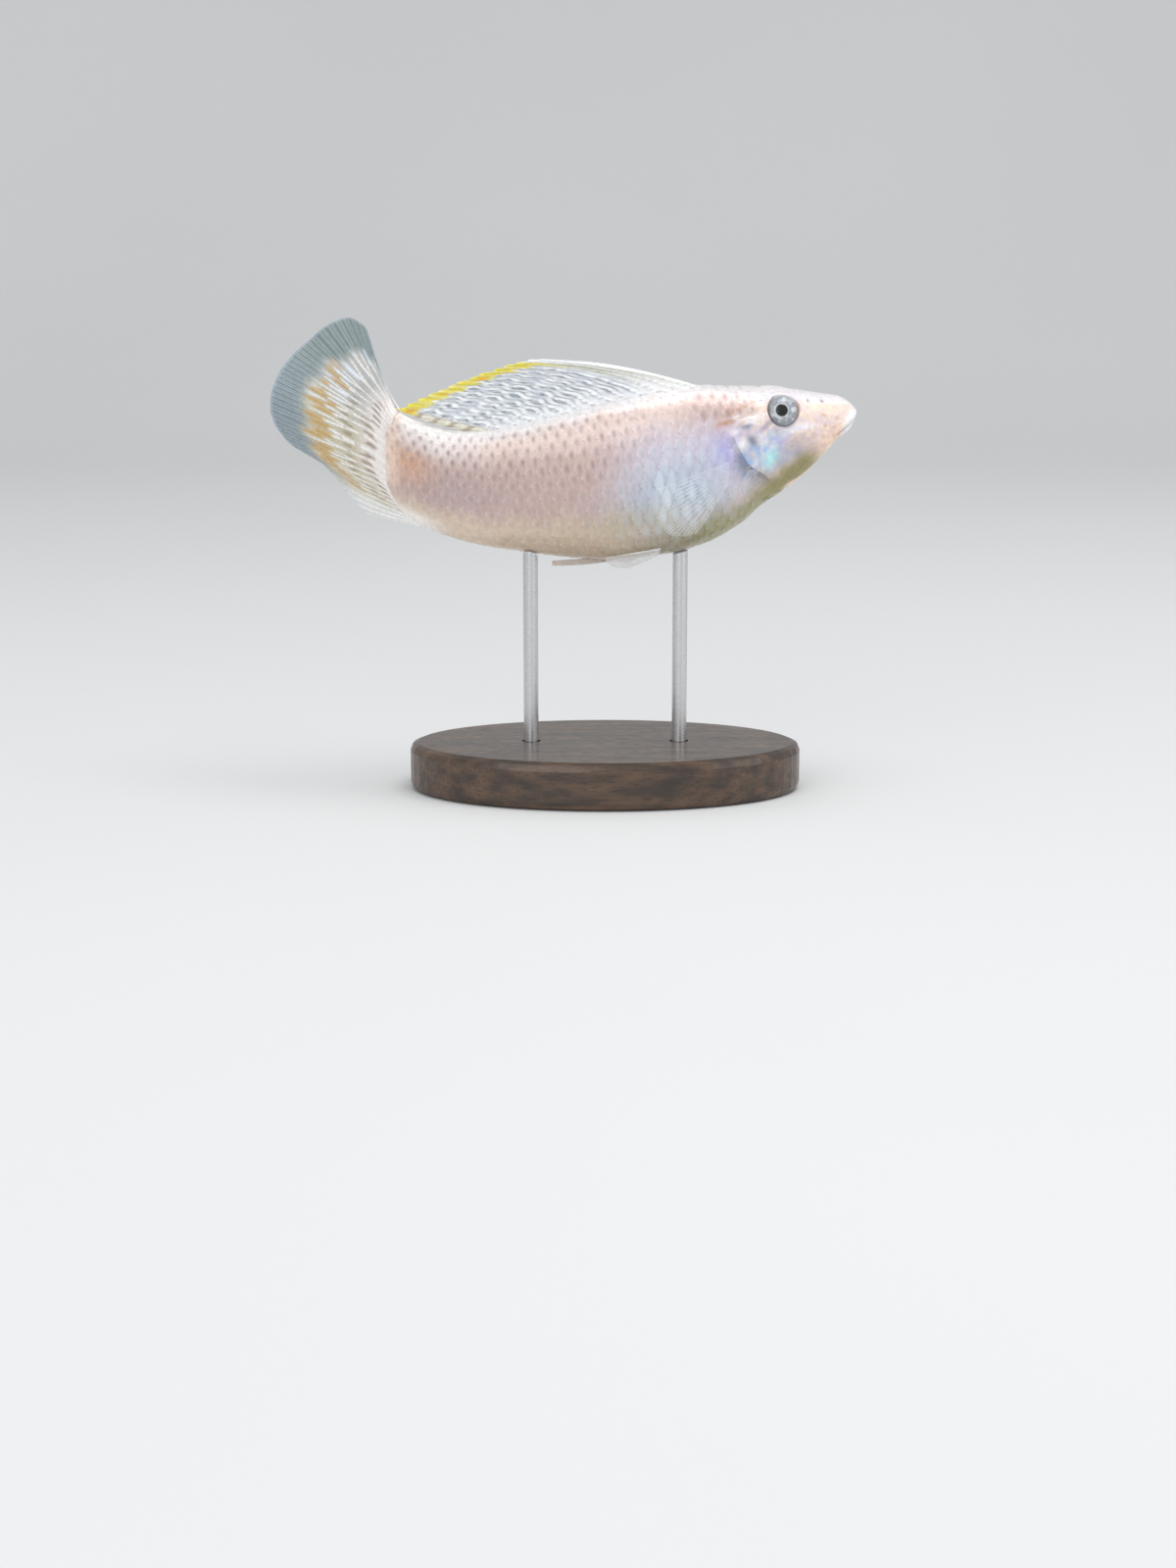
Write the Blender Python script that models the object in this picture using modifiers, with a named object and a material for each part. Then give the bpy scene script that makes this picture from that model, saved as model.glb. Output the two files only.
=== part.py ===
"""A male sailfin molly at life size, swimming with its sail folded back, held over a plain display stand.

All sizes are in metres and angles in degrees. The fish is worked out along a bent spine. `distance` runs
from the snout towards the tail. `turn` runs round the body, in radians: 0 is the back, pi / 2 the right
flank, pi the belly and 3 pi / 2 the left flank. The fish's own frame has +X towards the snout, +Y towards
its left side and +Z up its back, and an empty carries that frame to its pose over the stand.
"""

import math

import bmesh
import bpy
import numpy as np
from mathutils import Euler, Matrix, Vector

MM = 0.001
GAP = 0.3 * MM

# Lengths along the body, measured from the snout.
STANDARD_LENGTH = 70 * MM
SPINE_START = -4 * MM
SPINE_REACH = 76 * MM
BALANCE = 33 * MM
TORSO_END = 56.5 * MM

# The pose: the balance point over the base, the back's lean towards the right side, and the snout's rise.
BALANCE_POINT = Vector((4.0 * MM, -2.4 * MM, 48.6 * MM))
LEAN = 9.3
NOSE_RISE = 6.2

# How the spine bends towards the left side, lifts towards the back and twists, at each share of the length.
SPINE_KNOTS = (0.0, 0.26, 0.47, 0.72, 0.88, 1.0, 1.1)
SPINE_BEND = (-7.0, -7.0, -1.5, 8.0, 17.5, 30.5, 34.5)
SPINE_LIFT = (1.0, 1.0, -1.5, 0.0, 11.0, 14.0, 15.0)
SPINE_TWIST = (0.0, 0.0, 0.0, 3.0, 7.0, 10.0, 11.0)
SPINE_STEPS = 380

# The body's sections, in millimetres: distance, height of the back and of the belly, half width and the
# height where it is widest, then how full the upper and the lower half are. A fullness of 2 is an ellipse,
# and more is squarer.
SECTIONS = (
    (0.0, 3.0, 3.0, 0.0, 3.0, 2.2, 2.0),
    (0.5, 4.3, 2.1, 1.55, 3.1, 2.3, 2.0),
    (1.6, 5.2, 0.9, 2.45, 3.0, 2.4, 2.0),
    (3.1, 5.9, -0.4, 3.1, 3.0, 2.5, 2.0),
    (6.3, 6.8, -3.4, 4.1, 3.3, 2.7, 2.0),
    (9.2, 7.5, -5.7, 4.8, 3.5, 2.8, 2.0),
    (12.1, 8.2, -7.3, 5.25, 3.1, 2.7, 2.0),
    (15.0, 8.7, -8.9, 5.55, 2.1, 2.5, 2.0),
    (18.0, 9.1, -11.1, 5.8, 1.0, 2.4, 2.0),
    (23.8, 9.9, -13.5, 6.0, 0.0, 2.2, 2.0),
    (29.6, 9.6, -14.3, 5.9, -0.8, 2.1, 2.0),
    (35.4, 9.2, -14.3, 5.4, -1.2, 2.1, 2.0),
    (44.1, 8.2, -13.0, 4.5, -1.6, 2.1, 2.0),
    (52.8, 7.2, -11.2, 3.5, -1.6, 2.1, 2.1),
    (60.0, 6.9, -9.9, 2.7, -1.2, 2.2, 2.2),
    (66.0, 7.6, -9.0, 1.9, -0.6, 2.4, 2.4),
    (70.0, 9.3, -8.1, 1.2, 0.0, 2.6, 2.6),
)
BODY_SIDES = 40

# The gill opening, which parts the head from the torso, at each share of the half turn from back to belly.
GILL_TURNS = (0.0, 0.28, 0.42, 0.54, 0.68, 0.85, 1.0)
GILL_DISTANCES = (17.0, 18.4, 19.2, 17.8, 14.7, 12.7, 11.8)
GILL_GAP = 0.4 * MM
HEAD_RINGS = 26
TORSO_RINGS = 18
STALK_RINGS = 8

# The scaled tail stalk ends in a convex edge, furthest back at mid height.
STALK_END = 70.0 * MM
STALK_END_TOP = 1.2 * MM
STALK_END_FOOT = 5.5 * MM

# The mouth: its line runs from the snout down and back to the corner, and the jaw ends at the chin.
MOUTH_FRONT = (0.0 * MM, 2.7 * MM)
MOUTH_CORNER = (3.0 * MM, 1.0 * MM)
CHIN = (7.2 * MM, -5.8 * MM)
LIP_RISE = 0.36 * MM
LIP_WIDTH = 0.36 * MM
LIP_OFFSET = 0.6 * MM
LIP_REACH = 3.5 * MM

# The eyes, set in the sides of the head.
EYE_DISTANCE = 11.4 * MM
EYE_TURN = 63.0
EYE_RADIUS = 2.2 * MM
EYE_DEPTH = 1.5 * MM
EYE_SINK = 0.95 * MM

# The nostrils, on the snout ahead of the eyes.
NOSTRIL_DISTANCE = 5.4 * MM
NOSTRIL_TURN = 38.0
NOSTRIL_RADIUS = 0.34 * MM

# The gill covers, at each share of their height from top to bottom.
COVER_TOP_TURN = 64.0
COVER_FOOT_TURN = 154.0
COVER_SHARES = (0.0, 0.06, 0.14, 0.4, 0.7, 0.93, 1.0)
COVER_FRONTS = (17.0, 15.6, 14.9, 13.7, 12.3, 10.9, 11.3)
COVER_THICKNESS = 0.8 * MM
COVER_RISE = 0.12 * MM
COVER_COLUMNS = 7
COVER_ROWS = 18

# Fins: the web's thickness, how much a ray stands out from it at its root, the share of the way to the next
# ray that a ray's foot takes, and how far the web's edge is drawn in between the ray tips.
WEB_THICKNESS = 0.45 * MM
RAY_RISE = 0.6 * MM
RAY_FOOT = 0.3
WEB_NOTCH = 0.02


def smooth(at, knots, values):
    """The value at each point of a curve of cubic pieces through the knots, which never overshoots them."""
    knots = np.asarray(knots, float)
    values = np.asarray(values, float)
    step = np.diff(knots)
    slope = np.diff(values) / step
    before, after = slope[:-1], slope[1:]
    same_way = before * after > 0
    total = np.where(same_way, before + after, 1.0)
    inner = np.where(same_way, 2 * before * after / total, 0.0)
    tangent = np.concatenate([slope[:1], inner, slope[-1:]])
    at = np.clip(at, knots[0], knots[-1])
    piece = np.clip(np.searchsorted(knots, at, side="right") - 1, 0, len(step) - 1)
    width = step[piece]
    t = (at - knots[piece]) / width
    start, end = values[piece], values[piece + 1]
    rise = start + (end - start) * t * t * (3 - 2 * t)
    return rise + width * t * (1 - t) * (tangent[piece] * (1 - t) - tangent[piece + 1] * t)


def spine_directions(distance):
    """Unit vectors towards the tail, the back and the right side at each distance, in the fish's frame."""
    share = distance / STANDARD_LENGTH
    bend = np.radians(smooth(share, SPINE_KNOTS, SPINE_BEND))
    lift = np.radians(smooth(share, SPINE_KNOTS, SPINE_LIFT))
    twist = np.radians(smooth(share, SPINE_KNOTS, SPINE_TWIST))
    tail = np.stack([-np.cos(bend) * np.cos(lift), np.sin(bend) * np.cos(lift), np.sin(lift)], axis=-1)
    back = np.stack([np.cos(bend) * np.sin(lift), -np.sin(bend) * np.sin(lift), np.cos(lift)], axis=-1)
    right = np.stack([-np.sin(bend), -np.cos(bend), np.zeros_like(bend)], axis=-1)
    cosine, sine = np.cos(twist)[..., None], np.sin(twist)[..., None]
    return tail, back * cosine + right * sine, right * cosine - back * sine


def spine_table():
    """Distances along the spine and the point of the spine at each, with the balance point at the origin."""
    distances = np.linspace(SPINE_START, SPINE_REACH, SPINE_STEPS + 1)
    middles = (distances[1:] + distances[:-1]) / 2
    moves = spine_directions(middles)[0] * np.diff(distances)[:, None]
    points = np.concatenate([np.zeros((1, 3)), np.cumsum(moves, axis=0)])
    origin = [np.interp(BALANCE, distances, points[:, k]) for k in range(3)]
    return distances, points - origin


SPINE_DISTANCES, SPINE_POINTS = spine_table()


def from_spine(distance, right, up):
    """The point that lies off the spine by the given offsets towards the right side and the back."""
    distance, right, up = np.broadcast_arrays(distance, right, up)
    centre = np.stack([np.interp(distance, SPINE_DISTANCES, SPINE_POINTS[:, k]) for k in range(3)], axis=-1)
    _, back_way, right_way = spine_directions(distance)
    return centre + right[..., None] * right_way + up[..., None] * back_way


def section(distance, turn):
    """Offsets of the plain skin from the spine, towards the right side and the back."""
    table = np.array(SECTIONS)
    at = np.sqrt(np.maximum(distance, 0.0) / STANDARD_LENGTH)
    knots = np.sqrt(table[:, 0] * MM / STANDARD_LENGTH)
    back, belly, half_width, waist = (smooth(at, knots, table[:, k] * MM) for k in (1, 2, 3, 4))
    upper, lower = (smooth(at, knots, table[:, k]) for k in (5, 6))
    cosine, sine = np.cos(turn), np.sin(turn)
    power = 2 / np.where(cosine >= 0, upper, lower)
    reach = np.where(cosine >= 0, back - waist, waist - belly)
    up = waist + reach * np.sign(cosine) * np.abs(cosine) ** power
    return half_width * np.sign(sine) * np.abs(sine) ** power, up


def lip_rise(distance, up):
    """How far the lips stand out: two ridges, one on each side of the mouth line, fading at its corner."""
    run = MOUTH_CORNER[0] - MOUTH_FRONT[0]
    fall = MOUTH_FRONT[1] - MOUTH_CORNER[1]
    off_line = ((up - MOUTH_FRONT[1]) * run + distance * fall) / math.hypot(run, fall)
    ridge = np.exp(-(((np.abs(off_line) - LIP_OFFSET) / LIP_WIDTH) ** 2))
    return LIP_RISE * ridge / (1 + (distance / LIP_REACH) ** 8)


def skin(distance, turn, grow=0.0):
    """Points of the body's surface, pushed out along its normal by the lips and by `grow`."""
    distance, turn = np.broadcast_arrays(np.asarray(distance, float), np.asarray(turn, float))
    nudge = 0.01 * MM
    turn_nudge = 0.002

    def plain(d, a):
        return from_spine(d, *section(d, a))

    along = plain(distance + nudge, turn) - plain(np.maximum(distance - nudge, 0.0), turn)
    around = plain(distance, turn + turn_nudge) - plain(distance, turn - turn_nudge)
    normal = np.cross(along, around)
    normal /= np.maximum(np.linalg.norm(normal, axis=-1, keepdims=True), 1e-18)
    rise = lip_rise(distance, section(distance, turn)[1]) + grow
    return plain(distance, turn) + rise[..., None] * normal


def gill_line(turn):
    """Distance of the gill opening at each turn, the same on both sides."""
    share = 1 - np.abs(np.mod(turn, 2 * math.pi) / math.pi - 1)
    return smooth(share, GILL_TURNS, GILL_DISTANCES) * MM


def stalk_end(turn):
    """Distance of the tail stalk's rear edge at each turn: its top and its foot lie ahead of its middle."""
    height = np.cos(turn)
    setback = np.where(height >= 0, STALK_END_TOP, STALK_END_FOOT)
    return STALK_END - setback * height * height


def new_object(name, mesh, material, parent=None):
    """Links a mesh to the molly's collection as a named object."""
    made = bpy.data.objects.new(name, mesh)
    bpy.data.collections["molly"].objects.link(made)
    if material:
        made.data.materials.append(material)
    made.parent = parent
    return made


def as_cutter(made, collection="cutters"):
    """Hides an object that only cuts others, and moves it to the cutters' collection."""
    bpy.data.collections["molly"].objects.unlink(made)
    bpy.data.collections[collection].objects.link(made)
    made.hide_render = True
    made.display_type = "WIRE"
    return made


def boolean(made, operation, other=None, collection=None):
    """Adds a Boolean modifier against one object or a collection."""
    modifier = made.modifiers.new(operation.lower(), "BOOLEAN")
    modifier.operation = operation
    if other:
        modifier.object = other
    else:
        modifier.operand_type = "COLLECTION"
        modifier.collection = collection
    return modifier


def loft_mesh(name, rings, tip=None):
    """A closed mesh from rings of points round the body.

    A tip closes the front, and ladders of quads the cut ends. The ladders join the left and the right point of
    each height, so a cut end is ruled straight across the body.
    """
    count, sides = rings.shape[:2]
    corners = [tuple(p) for p in rings.reshape(-1, 3)]
    faces = []
    for ring in range(count - 1):
        for side in range(sides):
            following = (side + 1) % sides
            here, there = ring * sides, (ring + 1) * sides
            faces.append((here + side, there + side, there + following, here + following))

    def ladder(start, flip):
        for side in range(sides // 2):
            rung = [side, side + 1, (sides - side - 1) % sides, (sides - side) % sides]
            face = [start + corner for corner in dict.fromkeys(rung)]
            faces.append(tuple(reversed(face)) if flip else tuple(face))

    if tip is None:
        ladder(0, False)
    else:
        corners.append(tuple(tip))
        faces.extend((len(corners) - 1, side, (side + 1) % sides) for side in range(sides))
    ladder((count - 1) * sides, True)
    mesh = bpy.data.meshes.new(name)
    mesh.from_pydata(corners, [], faces)
    work = bmesh.new()
    work.from_mesh(mesh)
    bmesh.ops.triangulate(work, faces=work.faces)
    bmesh.ops.recalc_face_normals(work, faces=work.faces)
    work.to_mesh(mesh)
    work.free()
    mesh.shade_smooth()
    return mesh


def body_turns():
    return np.arange(BODY_SIDES) * 2 * math.pi / BODY_SIDES


def head_mesh(name):
    """The head and jaw in one, from the snout to the gill opening, with its rings closer at the lips."""
    turns = body_turns()
    shares = (np.arange(1, HEAD_RINGS + 1) / HEAD_RINGS) ** 2
    distances = shares[:, None] * (gill_line(turns) - GILL_GAP / 2)
    rings = skin(distances, turns)
    return loft_mesh(name, rings, tip=rings[0].mean(axis=0))


def torso_mesh(name, grow=0.0):
    """The trunk, from the gill opening to the tail stalk."""
    turns = body_turns()
    start = gill_line(turns) + GILL_GAP / 2
    shares = np.linspace(0.0, 1.0, TORSO_RINGS)[:, None]
    return loft_mesh(name, skin(start + shares * (TORSO_END - start), turns, grow))


def stalk_mesh(name):
    """The tail stalk, from the trunk to the convex edge that the tail fin grows from."""
    turns = body_turns()
    start = TORSO_END + GAP
    shares = np.linspace(0.0, 1.0, STALK_RINGS)[:, None]
    return loft_mesh(name, skin(start + shares * (stalk_end(turns) - start), turns))


def jaw_block(name, clearance, fish):
    """A prism across the head that holds the lower jaw, grown upwards and backwards by the clearance."""
    line = Vector(MOUTH_CORNER) - Vector(MOUTH_FRONT)
    before = Vector(MOUTH_FRONT) - line
    shift = Vector((0.8, 1.0)) * clearance
    outline = [
        before + Vector((0.0, 1.2)) * clearance,
        Vector(MOUTH_CORNER) + shift,
        Vector(CHIN) + Vector((1.2, 0.0)) * clearance,
        Vector((before.x, CHIN[1])),
    ]
    work = bmesh.new()
    span = 2 * SECTIONS[9][3] * MM
    sides = []
    for across in (-span, span):
        sides.append([work.verts.new(from_spine(p.x, across, p.y)) for p in outline])
    for side in sides:
        work.faces.new(side)
    for k in range(len(outline)):
        following = (k + 1) % len(outline)
        work.faces.new((sides[0][k], sides[0][following], sides[1][following], sides[1][k]))
    bmesh.ops.recalc_face_normals(work, faces=work.faces)
    mesh = bpy.data.meshes.new(name)
    work.to_mesh(mesh)
    work.free()
    return new_object(name, mesh, None, fish)


def skin_frame(distance, turn_degrees, side):
    """A point of the skin on one side, with its outward normal and its direction towards the tail."""
    turn = math.radians(turn_degrees) * side
    nudge = 0.05 * MM
    point = Vector(skin(distance, turn))
    along = Vector(skin(distance + nudge, turn)) - Vector(skin(distance - nudge, turn))
    around = Vector(skin(distance, turn + 0.01)) - Vector(skin(distance, turn - 0.01))
    return point, along.cross(around).normalized(), along.normalized()


def eye_mesh(name, grow, side):
    """A flattened ball that looks out along the skin's normal, sunk so that its rim lies at the skin."""
    point, outward, _ = skin_frame(EYE_DISTANCE, EYE_TURN, side)
    work = bmesh.new()
    bmesh.ops.create_uvsphere(work, u_segments=24, v_segments=14, radius=1.0)
    flat = Matrix.Diagonal((EYE_RADIUS + grow, EYE_RADIUS + grow, EYE_DEPTH + grow, 1.0))
    turned = outward.to_track_quat("Z", "Y").to_matrix().to_4x4()
    sunk = Matrix.Translation(point - outward * EYE_SINK)
    bmesh.ops.transform(work, matrix=sunk @ turned @ flat, verts=work.verts)
    mesh = bpy.data.meshes.new(name)
    work.to_mesh(mesh)
    work.free()
    mesh.shade_smooth()
    return mesh


def nostril_mesh(name, side):
    """A short pin that cuts one nostril."""
    point, outward, _ = skin_frame(NOSTRIL_DISTANCE, NOSTRIL_TURN, side)
    work = bmesh.new()
    radius = NOSTRIL_RADIUS
    bmesh.ops.create_cone(work, cap_ends=True, segments=10, radius1=radius, radius2=radius, depth=4 * radius)
    turned = outward.to_track_quat("Z", "Y").to_matrix().to_4x4()
    bmesh.ops.transform(work, matrix=Matrix.Translation(point) @ turned, verts=work.verts)
    mesh = bpy.data.meshes.new(name)
    work.to_mesh(mesh)
    work.free()
    return mesh


def sheet_mesh(name, points):
    """An open sheet of triangles on a grid of points, split the same way all over."""
    columns, rows = points.shape[:2]
    index = np.arange(columns * rows).reshape(columns, rows)
    a, b, c, d = index[:-1, :-1], index[1:, :-1], index[1:, 1:], index[:-1, 1:]
    faces = np.concatenate([np.stack(t, axis=-1).reshape(-1, 3) for t in ((a, b, c), (a, c, d))])
    mesh = bpy.data.meshes.new(name)
    mesh.from_pydata([tuple(p) for p in points.reshape(-1, 3)], [], [tuple(map(int, f)) for f in faces])
    mesh.shade_smooth()
    return mesh


def thicken(made, thickness, offset):
    """Gives an open sheet its thickness. An offset of 0 is centred, and -1 and 1 lie on either side."""
    modifier = made.modifiers.new("thickness", "SOLIDIFY")
    modifier.thickness = thickness
    modifier.offset = offset
    modifier.use_even_offset = False
    return modifier


def cover_sheet(name, side, edge):
    """The patch of skin that a gill cover fills, widened by `edge` on every side but the gill opening's."""
    rows = np.linspace(0.0, 1.0, COVER_ROWS)
    widen = math.degrees(edge / (6 * MM))
    degrees = COVER_TOP_TURN - widen + rows * (COVER_FOOT_TURN - COVER_TOP_TURN + 2 * widen)
    turns = np.radians(degrees) * side
    front = smooth(rows, COVER_SHARES, COVER_FRONTS) * MM - edge
    rear = gill_line(turns) - GILL_GAP / 2 + 3 * edge
    shares = np.linspace(0.0, 1.0, COVER_COLUMNS)[:, None]
    distances = front + shares * (rear - front)
    return sheet_mesh(name, skin(distances, np.broadcast_to(turns, distances.shape), COVER_RISE))


def gill_cover(name, side, material, fish):
    """One gill cover, a thin curved plate that stands just proud of the head."""
    made = new_object(name, cover_sheet(name, side, 0.0), material, fish)
    thicken(made, COVER_THICKNESS, -side)
    return made


def cover_recess(name, side, fish):
    """The cutter that clears the head under one gill cover."""
    made = new_object(name, cover_sheet(name, side, GAP), None, fish)
    thicken(made, 2 * (COVER_THICKNESS + GAP), 0.0)
    return as_cutter(made, "head_cutters")


def fin(name, material, fish, rays, rows, point, ridge=RAY_RISE, web=WEB_THICKNESS):
    """A fin as one closed sheet: a web with a ridge for each ray, which thins towards its tip.

    `point(across, along)` gives a point for each share of the way across the fin and along its rays. Each
    ray has three columns of points, one on its crest and one at each foot, and the outer rays have no outer
    foot.
    """
    crests = np.arange(rays)
    across = ((crests[:, None] + np.array([-RAY_FOOT, 0.0, RAY_FOOT])).reshape(-1, 1) / (rays - 1))[1:-1]
    on_ray = (np.arange(len(across)) % 3 == 0)[:, None]
    along = np.linspace(0.0, 1.0, rows)[None, :] * np.where(on_ray, 1.0, 1.0 - WEB_NOTCH)
    points = point(np.broadcast_to(across, along.shape), along)
    made = new_object(name, sheet_mesh(name, points), material, fish)
    thickest = web + ridge
    width = web + np.where(on_ray, ridge, 0.0) * (1.0 - 0.8 * along)
    group = made.vertex_groups.new(name="thickness")
    for number, share in enumerate((width / thickest).reshape(-1)):
        group.add([number], float(share), "REPLACE")
    thicken(made, thickest, 0.0).vertex_group = "thickness"
    return made


def grown_rays(root, directions, length):
    """Points along rays. `directions` holds unit vectors at the middles of equal steps from root to tip."""
    steps = directions * (length / directions.shape[0])[None, ..., None]
    return np.concatenate([root[None], root[None] + np.cumsum(steps, axis=0)])


def ray_points(root, direction_at, length, along, steps=24):
    """The point at each share of the way along curved rays, which run in `direction_at(share)` there."""
    middles = (np.arange(steps) + 0.5) / steps
    path = grown_rays(root, np.stack([direction_at(share) for share in middles]), length)
    place = along * steps
    low = np.clip(np.floor(place).astype(int), 0, steps - 1)
    share = (place - low)[..., None]
    column, row = np.indices(along.shape)
    return path[low, column, row] * (1 - share) + path[low + 1, column, row] * share


def aimed(tail, back, left, up_angle, left_angle):
    """Unit vectors that point to the tail, raised towards the back and then swung towards the left side."""
    up, swing = np.radians(up_angle)[..., None], np.radians(left_angle)[..., None]
    return (tail * np.cos(up) + back * np.sin(up)) * np.cos(swing) + left * np.sin(swing)


# The dorsal fin, folded back. Its knots run from its first ray to its last.
DORSAL_START = 22.2 * MM
DORSAL_END = 55.0 * MM
DORSAL_RAYS = 15
DORSAL_ROWS = 13
DORSAL_KNOTS = (0.0, 0.25, 0.5, 0.75, 1.0)
DORSAL_LENGTHS = (23.7, 20.9, 18.6, 15.4, 12.8)
DORSAL_ROOT_ANGLES = (24.0, 34.0, 37.0, 32.0, 4.0)
DORSAL_TIP_ANGLES = (9.0, 5.0, 2.0, 8.0, 28.0)


def dorsal_point(across, along):
    """The folded sail: each ray leaves the back and curves down towards the tail."""
    distance = DORSAL_START + across * (DORSAL_END - DORSAL_START)
    root = skin(distance, np.zeros_like(distance), GAP)
    tail, back, right = spine_directions(distance)
    start = smooth(across, DORSAL_KNOTS, DORSAL_ROOT_ANGLES)
    end = smooth(across, DORSAL_KNOTS, DORSAL_TIP_ANGLES)
    length = smooth(across, DORSAL_KNOTS, DORSAL_LENGTHS) * MM

    def direction(share):
        return aimed(tail, back, -right, start + (end - start) * share, np.zeros_like(across))

    return ray_points(root, direction, length, along)


# The tail fin, a rounded fan. Its knots run from its top ray to its bottom ray.
TAIL_RAYS = 19
TAIL_ROWS = 13
TAIL_KNOTS = (0.0, 0.04, 0.07, 0.1, 0.15, 0.2, 0.35, 0.5, 0.65, 0.8, 0.9, 1.0)
TAIL_LENGTHS = (10.2, 12.0, 13.6, 15.1, 16.5, 17.8, 19.3, 19.8, 19.0, 17.0, 15.2, 12.5)
TAIL_ROOT_ANGLES = (49.0, 50.0, 49.0, 45.0, 35.0, 24.0, 16.0, 12.0, 7.0, 2.0, -6.0, -16.0)
TAIL_TIP_ANGLES = (63.0, 59.0, 51.0, 41.0, 29.0, 17.0, 12.0, 12.0, 9.0, 6.0, -2.0, -14.0)
TAIL_SWINGS = (11.0, 13.0, 13.5, 15.0, 12.5, 10.0, 0.0, -6.0, -2.0, 8.0, 11.0, 12.0)


def tail_point(across, along):
    """The tail fin: rays fan out from the stalk's rear edge, and swing more towards their tips."""
    turn = across * math.pi
    distance = stalk_end(turn)
    root = from_spine(distance + GAP, np.zeros_like(distance), section(distance, turn)[1])
    tail, back, right = (np.broadcast_to(v, root.shape) for v in spine_directions(np.array(STALK_END)))
    start, end, swing = (
        smooth(across, TAIL_KNOTS, values) for values in (TAIL_ROOT_ANGLES, TAIL_TIP_ANGLES, TAIL_SWINGS)
    )
    length = smooth(across, TAIL_KNOTS, TAIL_LENGTHS) * MM

    def direction(share):
        return aimed(tail, back, -right, start + (end - start) * share, swing * (0.5 + share))

    return ray_points(root, direction, length, along)


# The paired fins: where each grows, how it is held, and its rays from the leading edge to the trailing one.
PECTORAL = {
    "distance": 20.6 * MM,
    "turn": 101.0,
    "base": 3.2 * MM,
    "lengths": (12.5, 13.5, 12.5, 8.5),
    "fan": (8.0, -2.0, -16.0, -34.0),
    "stand_out": 20.0,
    "rays": 11,
    "rows": 8,
}
PELVIC = {
    "distance": 31.4 * MM,
    "turn": 154.0,
    "base": 1.8 * MM,
    "lengths": (8.2, 7.8, 6.4, 4.6),
    "fan": (6.0, -2.0, -12.0, -22.0),
    "stand_out": 5.0,
    "rays": 6,
    "rows": 6,
}
PAIR_KNOTS = (0.0, 0.35, 0.7, 1.0)


def paired_point(shape, side):
    """The points of one paired fin: its rays fan back from a short base on the skin and stand out from it."""
    point, outward, along_skin = (
        np.array(v) for v in skin_frame(shape["distance"], shape["turn"], side)
    )
    down = np.cross(outward, along_skin) * side
    base_way = down * 0.94 + along_skin * 0.34

    def place(across, along):
        root = point + outward * (GAP + WEB_THICKNESS) + (across - 0.5)[..., None] * shape["base"] * base_way
        fan = np.radians(smooth(across, PAIR_KNOTS, shape["fan"]))
        flat = along_skin * np.cos(fan)[..., None] - down * np.sin(fan)[..., None]
        length = smooth(across, PAIR_KNOTS, shape["lengths"]) * MM

        def direction(share):
            lean = math.radians(shape["stand_out"]) * (1.0 - 0.35 * share)
            return flat * math.cos(lean) + outward * math.sin(lean)

        return ray_points(root, direction, length, along)

    return place


# The anal fin of a male, a slender rod of fused rays that lies back under the belly.
ANAL_START = 35.6 * MM
ANAL_BASE = 2.8 * MM
ANAL_LENGTH = 10.8 * MM
ANAL_TIP_DROP = 1.3 * MM
ANAL_TIP_HEIGHT = 0.7 * MM
ANAL_BOW = 1.6 * MM


def anal_point(across, along):
    """The rod follows the belly back from its base on the keel, and tapers to a blunt tip."""
    distance = ANAL_START + across * ANAL_BASE
    root = skin(distance, np.full_like(distance, math.pi), GAP)
    tip = skin(ANAL_START + ANAL_LENGTH, math.pi, ANAL_TIP_DROP - (across - 0.5) * ANAL_TIP_HEIGHT)
    back = spine_directions(np.array(ANAL_START))[1]
    bow = (along * (1 - along) * (1 - across))[..., None] * back * ANAL_BOW
    return root * (1 - along[..., None]) + tip * along[..., None] - bow


# The stand: an oval base with a bevelled rim, and two rods that stop just under the belly.
BASE_LENGTH = 58 * MM
BASE_WIDTH = 36 * MM
BASE_HEIGHT = 7 * MM
BASE_BEVEL = 1.2 * MM
ROD_RADIUS = 1.1 * MM
ROD_PLACES = (11.0 * MM, -11.0 * MM)
SOCKET_DEPTH = 4 * MM


def cylinder(name, radius, low, high, x, sides):
    """An upright cylinder over the point x on the base's long axis."""
    work = bmesh.new()
    height = high - low
    bmesh.ops.create_cone(work, cap_ends=True, segments=sides, radius1=radius, radius2=radius, depth=height)
    bmesh.ops.translate(work, vec=(x, 0.0, (low + high) / 2), verts=work.verts)
    mesh = bpy.data.meshes.new(name)
    work.to_mesh(mesh)
    work.free()
    mesh.set_sharp_from_angle(angle=math.radians(40))
    return mesh


def stand_base(material):
    work = bmesh.new()
    bmesh.ops.create_cone(work, cap_ends=True, segments=56, radius1=0.5, radius2=0.5, depth=1.0)
    bmesh.ops.scale(work, vec=(BASE_LENGTH, BASE_WIDTH, BASE_HEIGHT), verts=work.verts)
    bmesh.ops.translate(work, vec=(0.0, 0.0, BASE_HEIGHT / 2), verts=work.verts)
    mesh = bpy.data.meshes.new("stand_base")
    work.to_mesh(mesh)
    work.free()
    mesh.set_sharp_from_angle(angle=math.radians(40))
    made = new_object("stand_base", mesh, material)
    bevel = made.modifiers.new("rim", "BEVEL")
    bevel.width = BASE_BEVEL
    bevel.segments = 2
    bevel.limit_method = "ANGLE"
    bevel.angle_limit = math.radians(40)
    low, high = BASE_HEIGHT - SOCKET_DEPTH, BASE_HEIGHT + SOCKET_DEPTH
    for x in ROD_PLACES:
        name = f"socket_{x / MM:.0f}"
        reach = cylinder(name, ROD_RADIUS + GAP, low, high, x, 20)
        boolean(made, "DIFFERENCE", as_cutter(new_object(name, reach, None)))
    return made


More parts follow.
